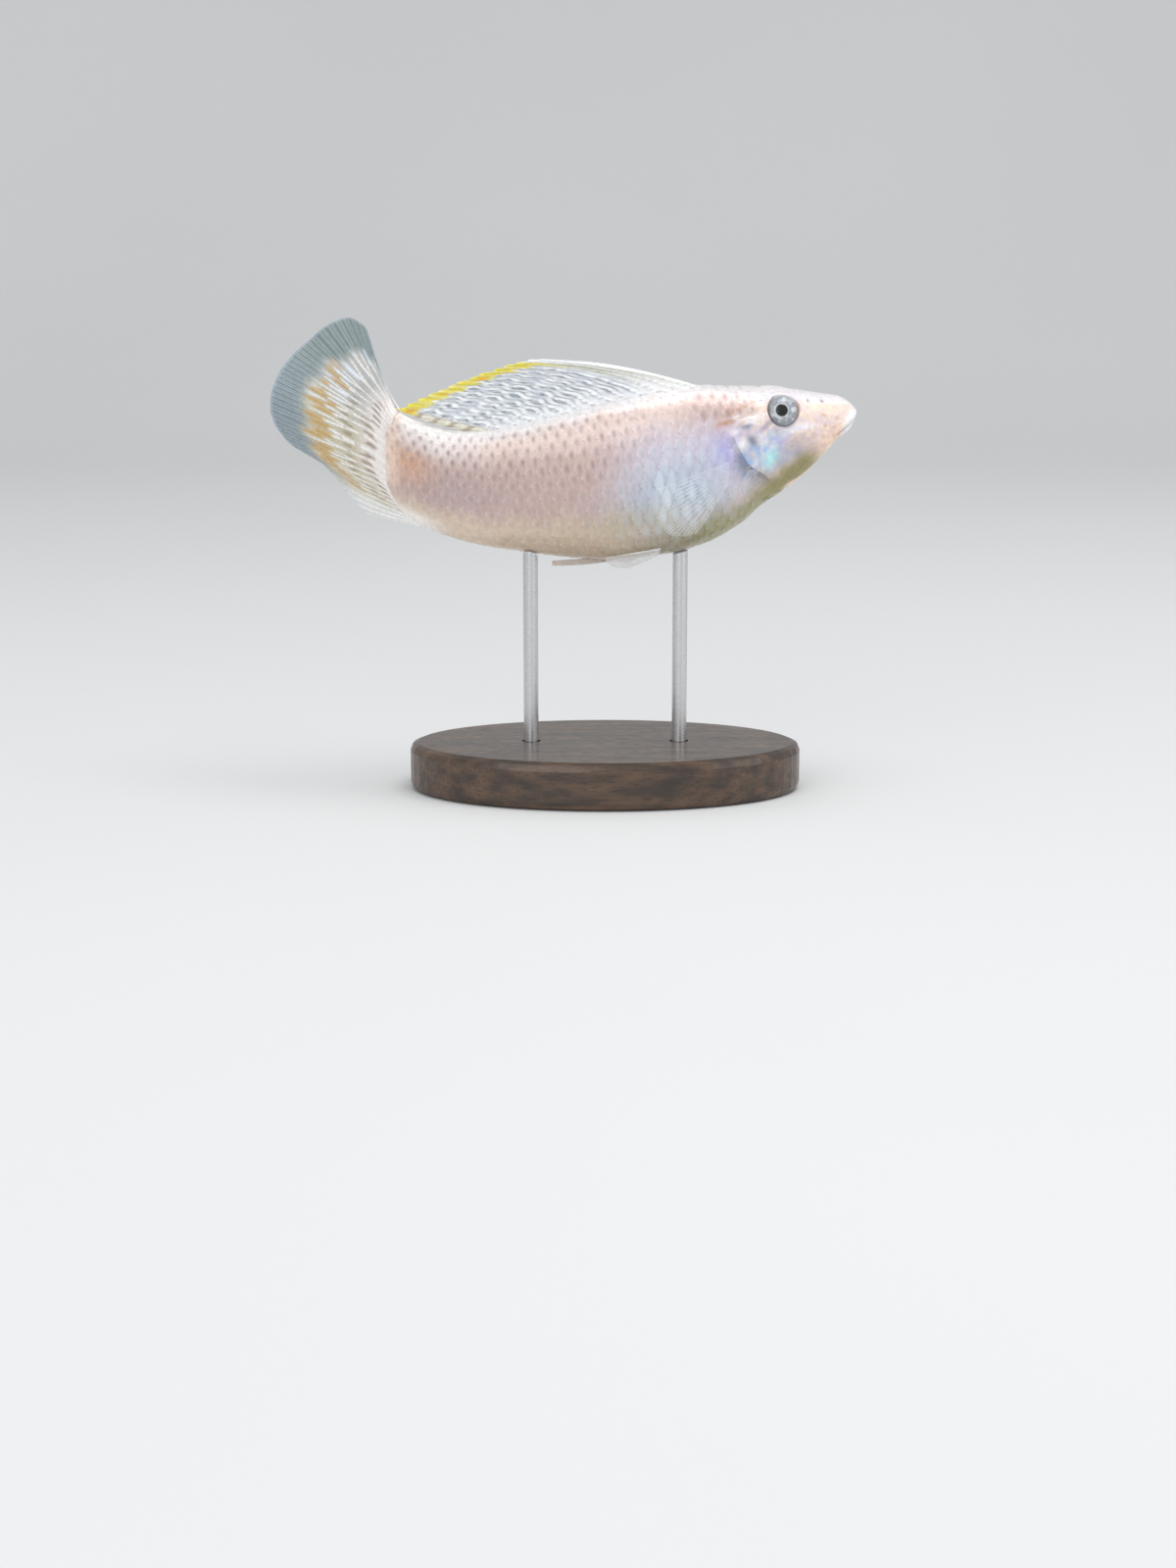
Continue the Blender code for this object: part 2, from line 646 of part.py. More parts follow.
def stand_rods(material, fish):
    """Two rods, each cut off along the belly's own curve."""
    belly = as_cutter(new_object("belly", torso_mesh("belly", GAP), None, fish))
    for name, x in zip(("stand_rod_front", "stand_rod_rear"), ROD_PLACES):
        mesh = cylinder(name, ROD_RADIUS, BASE_HEIGHT - SOCKET_DEPTH + GAP, BALANCE_POINT.z - 8 * MM, x, 20)
        boolean(new_object(name, mesh, material), "DIFFERENCE", belly)


def material(name, colour, roughness, metallic=0.0, alpha=1.0):
    made = bpy.data.materials.new(name)
    made.use_nodes = True
    shader = made.node_tree.nodes["Principled BSDF"]
    shader.inputs["Base Color"].default_value = (*colour, 1.0)
    shader.inputs["Roughness"].default_value = roughness
    shader.inputs["Metallic"].default_value = metallic
    shader.inputs["Alpha"].default_value = alpha
    return made


def build_head(flesh, pearl, iris, fish):
    """The head, with the jaw, the gill covers and the eyes set in it as pieces of their own."""
    cutters = bpy.data.collections["head_cutters"]
    head = new_object("head", head_mesh("head"), flesh, fish)
    jaw = new_object("lower_jaw", head_mesh("lower_jaw"), flesh, fish)
    boolean(jaw, "INTERSECT", as_cutter(jaw_block("jaw_room", 0.0, fish)))
    as_cutter(jaw_block("jaw_clearance", GAP, fish), "head_cutters")
    for word, side in (("right", 1), ("left", -1)):
        gill_cover(f"gill_cover_{word}", side, pearl, fish)
        cover_recess(f"cover_recess_{word}", side, fish)
        new_object(f"eye_{word}", eye_mesh(f"eye_{word}", 0.0, side), iris, fish)
        socket = new_object(f"eye_socket_{word}", eye_mesh(f"eye_socket_{word}", GAP, side), None, fish)
        as_cutter(socket, "head_cutters")
        nostril = new_object(f"nostril_{word}", nostril_mesh(f"nostril_{word}", side), None, fish)
        as_cutter(nostril, "head_cutters")
    boolean(head, "DIFFERENCE", collection=cutters)


def build_fins(clear, fish):
    fin("dorsal_fin", clear, fish, DORSAL_RAYS, DORSAL_ROWS, dorsal_point)
    fin("tail_fin", clear, fish, TAIL_RAYS, TAIL_ROWS, tail_point)
    fin("anal_fin", clear, fish, 4, 7, anal_point, ridge=0.3 * MM, web=0.6 * MM)
    for kind, shape in (("pectoral", PECTORAL), ("pelvic", PELVIC)):
        rays, rows = shape["rays"], shape["rows"]
        for word, side in (("right", 1), ("left", -1)):
            fin(f"{kind}_fin_{word}", clear, fish, rays, rows, paired_point(shape, side), ridge=0.3 * MM)


def main():
    for old in list(bpy.data.objects):
        bpy.data.objects.remove(old)
    for name in ("molly", "cutters", "head_cutters"):
        bpy.context.scene.collection.children.link(bpy.data.collections.new(name))
    fish = bpy.data.objects.new("fish_pose", None)
    bpy.data.collections["molly"].objects.link(fish)
    fish.location = BALANCE_POINT
    fish.rotation_euler = Euler((math.radians(LEAN), math.radians(-NOSE_RISE), 0.0))

    flesh = material("pale pink skin", (0.78, 0.66, 0.62), 0.35)
    pearl = material("pearly gill cover", (0.66, 0.72, 0.82), 0.25, 0.3)
    iris = material("silver eye", (0.45, 0.47, 0.5), 0.15, 0.4)
    clear = material("clear fin", (0.62, 0.67, 0.72), 0.3, alpha=0.8)
    wood = material("dark wood", (0.09, 0.05, 0.03), 0.45)
    steel = material("polished steel", (0.6, 0.6, 0.6), 0.25, 1.0)

    build_head(flesh, pearl, iris, fish)
    new_object("torso", torso_mesh("torso"), flesh, fish)
    new_object("tail_stalk", stalk_mesh("tail_stalk"), flesh, fish)
    build_fins(clear, fish)
    stand_base(wood)
    stand_rods(steel, fish)


main()
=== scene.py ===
"""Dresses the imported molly: skin, scales, finer fins, clear eyes, the stand's finishes and a stage.

Lengths here are in metres and angles in degrees unless a name says otherwise. The skin and the fins are
worked out along the same bent spine as the part's solids, so every piece lies where its solid does.
"""

import math
from collections import namedtuple

import bpy
import numpy as np
from bpy.props import FloatProperty, FloatVectorProperty, IntProperty, PointerProperty
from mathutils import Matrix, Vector


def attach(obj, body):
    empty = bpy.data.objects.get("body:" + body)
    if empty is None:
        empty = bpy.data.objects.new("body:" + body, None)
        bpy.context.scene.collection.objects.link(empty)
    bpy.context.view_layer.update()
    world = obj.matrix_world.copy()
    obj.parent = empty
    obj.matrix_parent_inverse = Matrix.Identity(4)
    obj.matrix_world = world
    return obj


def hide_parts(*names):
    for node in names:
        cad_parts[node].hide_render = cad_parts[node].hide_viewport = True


bl_info = {
    "name": "Molly Dresser",
    "version": (1, 0, 0),
    "blender": (4, 5, 0),
    "location": "View3D > Sidebar > Molly",
    "description": "Builds the skin, scales, fins and eyes of a molly, its stand's finishes and a stage",
    "category": "Object",
}

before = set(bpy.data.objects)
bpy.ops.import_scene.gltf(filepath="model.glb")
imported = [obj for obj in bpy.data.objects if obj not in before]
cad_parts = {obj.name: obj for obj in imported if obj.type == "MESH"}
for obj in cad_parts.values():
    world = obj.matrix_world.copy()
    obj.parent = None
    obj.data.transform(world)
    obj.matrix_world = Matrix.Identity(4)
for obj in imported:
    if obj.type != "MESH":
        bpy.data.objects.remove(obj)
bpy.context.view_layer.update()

# The spine and the plain body, as in the part's solids.
MM = 0.001
STANDARD_LENGTH = 70 * MM
SPINE_START = -4 * MM
SPINE_REACH = 76 * MM
SPINE_STEPS = 381
BALANCE = 33 * MM
BALANCE_POINT = np.array((4.0 * MM, -2.4 * MM, 48.6 * MM))
LEAN = 9.3
NOSE_RISE = 6.2
SPINE_KNOTS = (0.0, 0.26, 0.47, 0.72, 0.88, 1.0, 1.1)
SPINE_BEND = (-7.0, -7.0, -1.5, 8.0, 17.5, 30.5, 34.5)
SPINE_LIFT = (1.0, 1.0, -1.5, 0.0, 11.0, 14.0, 15.0)
SPINE_TWIST = (0.0, 0.0, 0.0, 3.0, 7.0, 10.0, 11.0)

# Distance, height of the back and of the belly, half width, waist height, fullness above and below.
SECTIONS = np.array(
    (
        (0.0, 3.0, 3.0, 0.0, 3.0, 2.2, 2.0),
        (0.5, 4.3, 2.1, 1.55, 3.1, 2.3, 2.0),
        (1.6, 5.2, 0.9, 2.45, 3.0, 2.4, 2.0),
        (3.1, 5.9, -0.4, 3.1, 3.0, 2.5, 2.0),
        (6.3, 6.8, -3.4, 4.1, 3.3, 2.7, 2.0),
        (9.2, 7.5, -5.7, 4.8, 3.5, 2.8, 2.0),
        (12.1, 8.2, -7.3, 5.25, 3.1, 2.7, 2.0),
        (15.0, 8.7, -8.9, 5.55, 2.1, 2.5, 2.0),
        (18.0, 9.1, -11.1, 5.8, 1.0, 2.4, 2.0),
        (23.8, 9.9, -13.5, 6.0, 0.0, 2.2, 2.0),
        (29.6, 9.6, -14.3, 5.9, -0.8, 2.1, 2.0),
        (35.4, 9.2, -14.3, 5.4, -1.2, 2.1, 2.0),
        (44.1, 8.2, -13.0, 4.5, -1.6, 2.1, 2.0),
        (52.8, 7.2, -11.2, 3.5, -1.6, 2.1, 2.1),
        (60.0, 6.9, -9.9, 2.7, -1.2, 2.2, 2.2),
        (66.0, 7.6, -9.0, 1.9, -0.6, 2.4, 2.4),
        (70.0, 9.3, -8.1, 1.2, 0.0, 2.6, 2.6),
    )
)

# The gill opening and the front edge of its cover, as shares of the way down the side and millimetres back.
GILL_TURNS = (0.0, 0.28, 0.42, 0.54, 0.68, 0.85, 1.0)
GILL_DISTANCES = (17.0, 18.4, 19.2, 17.8, 14.7, 12.7, 11.8)
COVER_SHARES = (0.0, 0.06, 0.14, 0.4, 0.7, 0.93, 1.0)
COVER_FRONTS = (17.0, 15.6, 14.9, 13.7, 12.3, 10.9, 11.3)
COVER_TOP_TURN = 64.0
COVER_FOOT_TURN = 154.0

# The mouth line's two ends, in millimetres back from the snout and above the spine.
MOUTH_FRONT = (0.0, 2.7)
MOUTH_CORNER = (3.0, 1.0)
LOWER_LIP_RISE = 0.40
UPPER_LIP_RISE = 0.14
LIP_OFFSET = 0.62
MOUTH_GROOVE = 0.42

EYE_DISTANCE = 11.4 * MM
EYE_TURN = 63.0
EYE_REACH_IN = 3 * MM
EYE_RIM_RADIUS = 2.62
# Distance, degrees off the back, and radius in millimetres of a side's two nostrils.
NOSTRILS = ((5.4 * MM, 38.0, 0.24), (7.6 * MM, 40.0, 0.17))
NOSTRIL_REACH_IN = 1.5 * MM

STALK_END = 70.0 * MM
STALK_END_TOP = 1.2 * MM
STALK_END_FOOT = 5.5 * MM


def smooth(at, knots, values):
    """A curve of cubic pieces through the knots, with the harmonic mean of the slopes beside each knot."""
    knots, values = np.asarray(knots, float), np.asarray(values, float)
    step = np.diff(knots)
    slope = np.diff(values) / step
    before, after = slope[:-1], slope[1:]
    same_way = before * after > 0
    total = np.where(same_way, before + after, 1.0)
    inner = np.where(same_way, 2 * before * after / total, 0.0)
    tangent = np.concatenate([slope[:1], inner, slope[-1:]])
    at = np.clip(at, knots[0], knots[-1])
    piece = np.clip(np.searchsorted(knots, at, side="right") - 1, 0, len(step) - 1)
    width = step[piece]
    share = (at - knots[piece]) / width
    start, end = values[piece], values[piece + 1]
    rise = start + (end - start) * share * share * (3 - 2 * share)
    pull = tangent[piece] * (1 - share) - tangent[piece + 1] * share
    return rise + width * share * (1 - share) * pull


def ease(low, high, value):
    """0 at `low`, 1 at `high`, with an S-curve between. `low` may be the larger."""
    share = np.clip((value - low) / (high - low), 0.0, 1.0)
    return share * share * (3 - 2 * share)


def bump(value, centre, width):
    """A bell curve, 1 at its centre."""
    return np.exp(-(((value - centre) / width) ** 2))


def linear(display):
    """Display colours turned into light."""
    display = np.asarray(display, float)
    return np.where(display <= 0.04045, display / 12.92, ((display + 0.055) / 1.055) ** 2.4)


def lay_over(under, over, share):
    """One colour over another, by a share from 0 to 1 at each point."""
    return under + (over - under) * np.clip(share, 0.0, 1.0)[..., None]


def layered(base, layers):
    """A base colour with each layer's colour laid over it in order, by that layer's own share."""
    for over, share in layers:
        base = lay_over(base, over, share)
    return base


def pose_matrix():
    """The turn of the fish over its stand: leant about X, then raised about Y."""
    lean, rise = math.radians(LEAN), math.radians(-NOSE_RISE)
    about_x = [[1, 0, 0], [0, math.cos(lean), -math.sin(lean)], [0, math.sin(lean), math.cos(lean)]]
    about_y = [[math.cos(rise), 0, math.sin(rise)], [0, 1, 0], [-math.sin(rise), 0, math.cos(rise)]]
    return np.array(about_y) @ np.array(about_x)


POSE = pose_matrix()


def spine_directions(distance):
    """Unit vectors towards the tail, the back and the right side: bent, then lifted, then twisted."""
    share = np.asarray(distance) / STANDARD_LENGTH
    bend, lift, twist = (
        np.radians(smooth(share, SPINE_KNOTS, values)) for values in (SPINE_BEND, SPINE_LIFT, SPINE_TWIST)
    )
    tail = np.stack([-np.cos(bend) * np.cos(lift), np.sin(bend) * np.cos(lift), np.sin(lift)], axis=-1)
    back = np.stack([np.cos(bend) * np.sin(lift), -np.sin(bend) * np.sin(lift), np.cos(lift)], axis=-1)
    right = np.stack([-np.sin(bend), -np.cos(bend), np.zeros_like(bend)], axis=-1)
    cosine, sine = np.cos(twist)[..., None], np.sin(twist)[..., None]
    turned = (tail, back * cosine + right * sine, right * cosine - back * sine)
    return tuple(way @ POSE.T for way in turned)


def spine_table():
    """Distances along the spine, and its points: its directions summed and set on the balance point."""
    distances = np.linspace(SPINE_START, SPINE_REACH, SPINE_STEPS)
    middles = (distances[1:] + distances[:-1]) / 2
    moves = spine_directions(middles)[0] * np.diff(distances)[:, None]
    points = np.concatenate([np.zeros((1, 3)), np.cumsum(moves, axis=0)])
    origin = [np.interp(BALANCE, distances, points[:, k]) for k in range(3)]
    return distances, points - origin + BALANCE_POINT


SPINE_DISTANCES, SPINE_POINTS = spine_table()


def from_spine(distance, right, up):
    """The spine's point at a distance, moved towards the right side and the back."""
    distance, right, up = np.broadcast_arrays(distance, right, up)
    centre = np.stack([np.interp(distance, SPINE_DISTANCES, SPINE_POINTS[:, k]) for k in range(3)], axis=-1)
    _, back_way, right_way = spine_directions(distance)
    return centre + right[..., None] * right_way + up[..., None] * back_way


def section(distance, turn):
    """Offsets of the plain skin from the spine: two half superellipses that meet at the waist."""
    at = np.sqrt(np.maximum(distance, 0.0) / STANDARD_LENGTH)
    knots = np.sqrt(SECTIONS[:, 0] * MM / STANDARD_LENGTH)
    back, belly, half_width, waist = (smooth(at, knots, SECTIONS[:, k] * MM) for k in (1, 2, 3, 4))
    upper, lower = (smooth(at, knots, SECTIONS[:, k]) for k in (5, 6))
    cosine, sine = np.cos(turn), np.sin(turn)
    power = 2 / np.where(cosine >= 0, upper, lower)
    reach = np.where(cosine >= 0, back - waist, waist - belly)
    up = waist + reach * np.sign(cosine) * np.abs(cosine) ** power
    return half_width * np.sign(sine) * np.abs(sine) ** power, up


def plain_skin(distance, turn):
    return from_spine(distance, *section(distance, turn))


def skin_normal(distance, turn):
    """The outward normal: the cross product of small steps along and around the body."""
    step_along, step_around = 0.01 * MM, 0.002
    before = np.maximum(distance - step_along, 0.0)
    along = plain_skin(distance + step_along, turn) - plain_skin(before, turn)
    around = plain_skin(distance, turn + step_around) - plain_skin(distance, turn - step_around)
    normal = np.cross(along, around)
    return normal / np.maximum(np.linalg.norm(normal, axis=-1, keepdims=True), 1e-18)


def skin_point(distance, turn, grow):
    """The plain skin moved along its normal by `grow`."""
    distance, turn = np.broadcast_arrays(np.asarray(distance, float), np.asarray(turn, float))
    return plain_skin(distance, turn) + np.asarray(grow)[..., None] * skin_normal(distance, turn)


def off_back(turn):
    """Degrees from the back, 0 to 180, the same on both sides."""
    return 180.0 * (1 - np.abs(np.mod(turn / (2 * math.pi), 1.0) * 2 - 1))


def gill_line(turn):
    """Distance of the gill opening."""
    return smooth(off_back(turn) / 180.0, GILL_TURNS, GILL_DISTANCES) * MM


def gill_gate(turn):
    """1 where the gill opening is free, fading to 0 above its top corner and at the throat."""
    return ease(54.0, 66.0, off_back(turn)) * ease(178.0, 160.0, off_back(turn))


def cover_line(turn):
    """Distance of the front edge of the gill cover."""
    share = (off_back(turn) - COVER_TOP_TURN) / (COVER_FOOT_TURN - COVER_TOP_TURN)
    return smooth(share, COVER_SHARES, COVER_FRONTS) * MM


def stalk_end(turn):
    """Distance at which the body ends: its rear edge is bowed, with the middle furthest back."""
    height = np.cos(turn)
    return STALK_END - np.where(height >= 0, STALK_END_TOP, STALK_END_FOOT) * height * height


def landmark(distance, degrees, side):
    """A point of the skin on one side, its outward normal, and the skin's direction towards the tail."""
    turn = np.array(math.radians(degrees) * side)
    distance = np.array(distance)
    step = 0.05 * MM
    along = plain_skin(distance + step, turn) - plain_skin(distance - step, turn)
    return plain_skin(distance, turn), skin_normal(distance, turn), along / np.linalg.norm(along)


def around_landmark(points, distance, degrees, side, reach_in):
    """Millimetres from the axis through a landmark, and whether a point lies on the landmark's side."""
    centre, outward, _ = landmark(distance, degrees, side)
    offset = points - centre
    height = offset @ outward
    return np.linalg.norm(offset - height[..., None] * outward, axis=-1) / MM, height > -reach_in


def mouth_offset(distance, turn):
    """Signed distance in millimetres from the mouth line, seen from the side, above it positive."""
    run = MOUTH_CORNER[0] - MOUTH_FRONT[0]
    fall = MOUTH_FRONT[1] - MOUTH_CORNER[1]
    up = section(distance, turn)[1] / MM
    return ((up - MOUTH_FRONT[1]) * run + distance / MM * fall) / math.hypot(run, fall)


def lip_relief(distance, turn):
    """An upper and a lower lip along the mouth line with a groove between them, and a crease behind its
    corner.
    """
    line = mouth_offset(distance, turn)
    mouth = 1 / (1 + (distance / (3.3 * MM)) ** 10)
    lip = LOWER_LIP_RISE + (UPPER_LIP_RISE - LOWER_LIP_RISE) * ease(-0.2, 0.2, line)
    rise = (lip * bump(np.abs(line), LIP_OFFSET, 0.5) - MOUTH_GROOVE * bump(line, 0.0, 0.11)) * mouth
    return rise - 0.07 * bump(distance / MM - 3.9 - 0.5 * line, 0.0, 0.45) * ease(3.0, 0.5, np.abs(line))


def pit_relief(distance, turn):
    """A round pit with a soft rim for each eye, and a small pit with a raised rim for each nostril."""
    points = plain_skin(distance, turn)
    rise = 0.0
    for side in (1, -1):
        radius, near = around_landmark(points, EYE_DISTANCE, EYE_TURN, side, EYE_REACH_IN)
        rise = rise + near * (0.16 * bump(radius, EYE_RIM_RADIUS, 0.30) - 1.5 * ease(2.55, 1.8, radius))
        for place, degrees, size in NOSTRILS:
            radius, near = around_landmark(points, place, degrees, side, NOSTRIL_REACH_IN)
            pit = np.exp(-((radius / size) ** 4))
            rise = rise + near * (0.10 * bump(radius, size * 1.5, size * 0.45) - 0.35 * pit)
    return rise


def gill_relief(distance, turn):
    """The gill cover: a groove in front, and a raised free edge over a slit that closes at the throat."""
    gate, down = gill_gate(turn), off_back(turn)
    free = gate * (0.3 + 0.7 * ease(72.0, 98.0, down)) * (1 - 0.92 * ease(114.0, 132.0, down))
    behind = (distance - gill_line(turn)) / MM
    front = (distance - cover_line(turn)) / MM
    edge = free * 0.20 * ease(-3.4, -0.4, behind) * ease(0.05, -0.16, behind)
    slit = free * 0.34 * ease(-0.16, 0.10, behind) * ease(1.8, 0.1, behind)
    swell = 0.07 * ease(-0.2, 0.6, front) * ease(4.0, 1.0, front)
    return edge - slit + gate * (swell - 0.06 * bump(front, 0.0, 0.35))


def cheek_relief(distance, turn):
    """A fuller snout over a hollow chin, a ridge under the eye, and small folds above the gill cover."""
    along, down = distance / MM, off_back(turn)
    rise = 0.20 * bump(along, 2.0, 1.5) * ease(70.0, 30.0, down)
    rise = rise - 0.18 * bump(along, 2.3, 1.2) * ease(115.0, 150.0, down)
    rise = rise + 0.16 * bump(along + 0.03 * (down - 90.0), 9.6, 2.2) * bump(down, 93.0, 5.0)
    rise = rise - 0.16 * bump(along, 16.6, 0.6) * bump(down, 88.0, 5.0)
    rise = rise + 0.15 * bump(along, 18.0, 0.7) * bump(down, 85.0, 5.0)
    folds = np.sin(along * 4.2 + down * 0.23) * np.sin(along * 1.9 - down * 0.31)
    return rise + 0.035 * folds * bump(along, 16.2, 3.0) * bump(down, 66.0, 26.0)


def head_relief(distance, turn):
    """How far the head stands off its plain shape, in metres: lip ridges, pits, gill cover and cheek
    together.
    """
    forms = (lip_relief, pit_relief, gill_relief, cheek_relief)
    return sum(form(distance, turn) for form in forms) * MM


# Meshes


def grid_faces(columns, rows):
    """Faces of one grid of points."""
    index = np.arange(columns * rows).reshape(columns, rows)
    corners = (index[:-1, :-1], index[1:, :-1], index[1:, 1:], index[:-1, 1:])
    return np.stack(corners, axis=-1).reshape(-1, 4)


def slab_faces(columns, rows):
    """Faces of a front grid, a back grid after it, and the rim that joins them."""
    front = grid_faces(columns, rows)
    size = columns * rows
    index = np.arange(size).reshape(columns, rows)
    loop = np.concatenate([index[:, 0], index[-1, 1:], index[-2::-1, -1], index[0, -2:0:-1]])
    following = np.roll(loop, -1)
    rim = np.stack([following, loop, loop + size, following + size], axis=-1)
    return np.concatenate([front, front[:, ::-1] + size, rim])


def ring_faces(rings, sides):
    """Numbers of the points in closed rings, those of the points next to them, and the rings' faces."""
    index = np.arange(rings * sides).reshape(rings, sides)
    following = np.roll(index, -1, axis=1)
    faces = np.stack([index[:-1], index[1:], following[1:], following[:-1]], axis=-1)
    return index, following, faces.reshape(-1, 4).tolist()


def fan_faces(centre, ring, following):
    """Triangles from a centre point to each step of a ring."""
    return np.stack([np.full_like(ring, centre), ring, following], axis=-1).tolist()


def add_piece(name, points, faces, material, replaced=()):
    """A named piece from points and faces, smooth but for its sharp rims, that rides with the part."""
    mesh = bpy.data.meshes.new(name)
    mesh.from_pydata(np.asarray(points).reshape(-1, 3).tolist(), [], [tuple(face) for face in faces])
    mesh.shade_smooth()
    mesh.set_sharp_from_angle(angle=math.radians(50.0))
    mesh.update()
    piece = bpy.data.objects.new(name, mesh)
    bpy.context.scene.collection.objects.link(piece)
    piece.data.materials.append(material)
    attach(piece, "root")
    if replaced:
        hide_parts(*replaced)
    return piece


def paint(piece, name, values):
    """Stores a colour or a number on each point of a piece."""
    values = np.asarray(values, np.float32)
    if values.ndim == 2:
        opaque = np.concatenate([values, np.ones((len(values), 1), np.float32)], axis=1)
        layer = piece.data.attributes.new(name, "FLOAT_COLOR", "POINT")
        layer.data.foreach_set("color", opaque.reshape(-1))
    else:
        layer = piece.data.attributes.new(name, "FLOAT", "POINT")
        layer.data.foreach_set("value", values)


def map_onto(piece, name, places):
    """Adds a UV map from one place for each point."""
    corners = np.empty(len(piece.data.loops), np.int32)
    piece.data.loops.foreach_get("vertex_index", corners)
    layer = piece.data.uv_layers.new(name=name)
    layer.data.foreach_set("uv", np.asarray(places, np.float32)[corners].reshape(-1))


class Shader:
    """A material's nodes around one Principled BSDF, with short calls for those that the finishes share."""

    def __init__(self, name, **constants):
        self.material = bpy.data.materials.new(name)
        self.material.use_nodes = True
        self.tree = self.material.node_tree
        self.surface = self.tree.nodes["Principled BSDF"]
        for socket, value in constants.items():
            self.surface.inputs[socket.replace("_", " ")].default_value = value

    def node(self, kind, inputs=None, **settings):
        made = self.tree.nodes.new(kind)
        for key, value in settings.items():
            setattr(made, key, value)
        for key, value in (inputs or {}).items():
            if isinstance(value, bpy.types.NodeSocket):
                self.tree.links.new(value, made.inputs[key])
            else:
                made.inputs[key].default_value = value
        return made

    def link(self, output, socket):
        self.tree.links.new(output, self.surface.inputs[socket])

    def place(self):
        return self.node("ShaderNodeTexCoord").outputs["Object"]

    def stretched(self, scale):
        """The object's own coordinates, scaled so that a pattern runs along one of them."""
        return self.node("ShaderNodeMapping", {"Vector": self.place(), "Scale": scale}).outputs[0]

    def attribute(self, name, output="Color"):
        return self.node("ShaderNodeAttribute", attribute_name=name).outputs[output]

    def math(self, operation, first, second=0.0):
        return self.node("ShaderNodeMath", {0: first, 1: second}, operation=operation).outputs[0]

    def noise(self, scale, detail=3.0, vector=None):
        inputs = {"Vector": vector or self.place(), "Scale": scale, "Detail": detail}
        return self.node("ShaderNodeTexNoise", inputs).outputs["Fac"]

    def span(self, value, low, high, to_low, to_high):
        inputs = {"Value": value, "From Min": low, "From Max": high, "To Min": to_low, "To Max": to_high}
        return self.node("ShaderNodeMapRange", inputs).outputs["Result"]

    def mix(self, factor, first, second, blend_type="MIX"):
        made = self.node("ShaderNodeMix", data_type="RGBA", blend_type=blend_type)
        for socket, value in ((made.inputs[0], factor), (made.inputs[6], first), (made.inputs[7], second)):
            if isinstance(value, bpy.types.NodeSocket):
                self.tree.links.new(value, socket)
            else:
                socket.default_value = value if np.isscalar(value) else (*value, 1.0)
        return made.outputs[2]

    def tinted(self, base, shade, blue=None):
        """A colour made lighter and darker by a shade, whose blue may follow another."""
        tint = self.node("ShaderNodeCombineColor", {0: shade, 1: shade, 2: blue or shade}).outputs[0]
        return self.mix(1.0, base, tint, "MULTIPLY")

    def rough(self, grain, low, high):
        """Roughness between two values, by a grain of noise."""
        self.link(self.span(grain, 0.3, 0.7, low, high), "Roughness")

    def relief(self, height, strength, distance):
        made = self.node("ShaderNodeBump", {"Height": height, "Strength": strength, "Distance": distance})
        self.link(made.outputs["Normal"], "Normal")


# Settings


def colour(label, value, description):
    return FloatVectorProperty(
        name=label, description=description, default=value, size=3, min=0.0, max=1.0, subtype="COLOR_GAMMA"
    )


def measure(label, value, description):
    return FloatProperty(name=label, description=description, default=value, unit="LENGTH")


def power(label, value, description):
    return FloatProperty(name=label, description=description, default=value, unit="POWER")


def whole_number(label, value, least, description):
    return IntProperty(name=label, description=description, default=value, min=least)


def plain_number(label, value, least, description):
    return FloatProperty(name=label, description=description, default=value, min=least)


class MollySkinSettings(bpy.types.PropertyGroup):
    head_rings: whole_number("Head Rings", 226, 60, "Rings of points from the snout to the gill opening")
    body_rings: whole_number("Body Rings", 160, 40, "Rings of points from the gill opening to the tail fin")
    sides: whole_number("Sides", 240, 48, "Points in each ring")
    coat_depth: measure("Coat Depth", 0.14 * MM, "How far the skin lies under the scales' outer face")
    back: colour("Back", (0.93, 0.905, 0.905), "Ridge of the back and top of the head")
    upper: colour("Upper Flank", (0.885, 0.785, 0.745), "Flank above mid height")
    middle: colour("Middle Flank", (0.785, 0.66, 0.63), "Flank at mid height, towards the tail")
    shoulder: colour("Shoulder", (0.815, 0.77, 0.83), "Flank behind the head")
    pearl: colour("Pearl", (0.60, 0.69, 0.79), "Pearly patch low on the shoulder")
    belly: colour("Belly", (0.87, 0.775, 0.68), "Lower flank")
    # Painted shade: the underside's olive stands in for the shadow under the body and green light thrown up
    # onto it.
    underside_shade: colour("Keel", (0.575, 0.545, 0.335), "Underside from the throat to the vent")
    stalk: colour("Tail Stalk", (0.85, 0.645, 0.51), "Warm blush where the tail fin starts")
    fan_base: colour("Fan Base", (0.98, 0.95, 0.93), "Pale edge of the stalk where the tail fin starts")
    cheek: colour("Cheek", (0.965, 0.875, 0.82), "Side of the head")
    jaw: colour("Jaw", (0.985, 0.86, 0.77), "Lower jaw and chin")
    # Also laid on the head as painted highlights and glints.
    lips_and_highlights: colour("Lips", (0.985, 0.97, 0.96), "Lips")
    gill_blue: colour("Gill Blue", (0.64, 0.745, 0.875), "Blue flash of the gill cover")
    gill_mint: colour("Gill Mint", (0.70, 0.93, 0.93), "Mint flash of the gill cover")
    gill_violet: colour("Gill Violet", (0.68, 0.68, 0.90), "Violet flash behind the gill cover")
    rust: colour("Rust", (0.76, 0.56, 0.42), "Streaks over the gill opening")
    dusk: colour("Dusk", (0.62, 0.57, 0.60), "Grey shade under the eye and at the gill cover's top")
    # Also laid on as painted shade behind the gill slit and in the dent near the gill cover's edge.
    slate_and_shade: colour("Slate", (0.50, 0.52, 0.58), "Dark flecks of the gill cover")
    # Painted highlight: the bright middle of each domed scale.
    scale_highlight: colour("Nacre", (0.88, 0.93, 0.97), "Bright middle of the pearly scales")
    blush: colour("Blush", (0.70, 0.56, 0.54), "Warm shade round the spots of the upper scales")
    spot: colour("Spot", (0.50, 0.41, 0.40), "Dark spot on each scale")


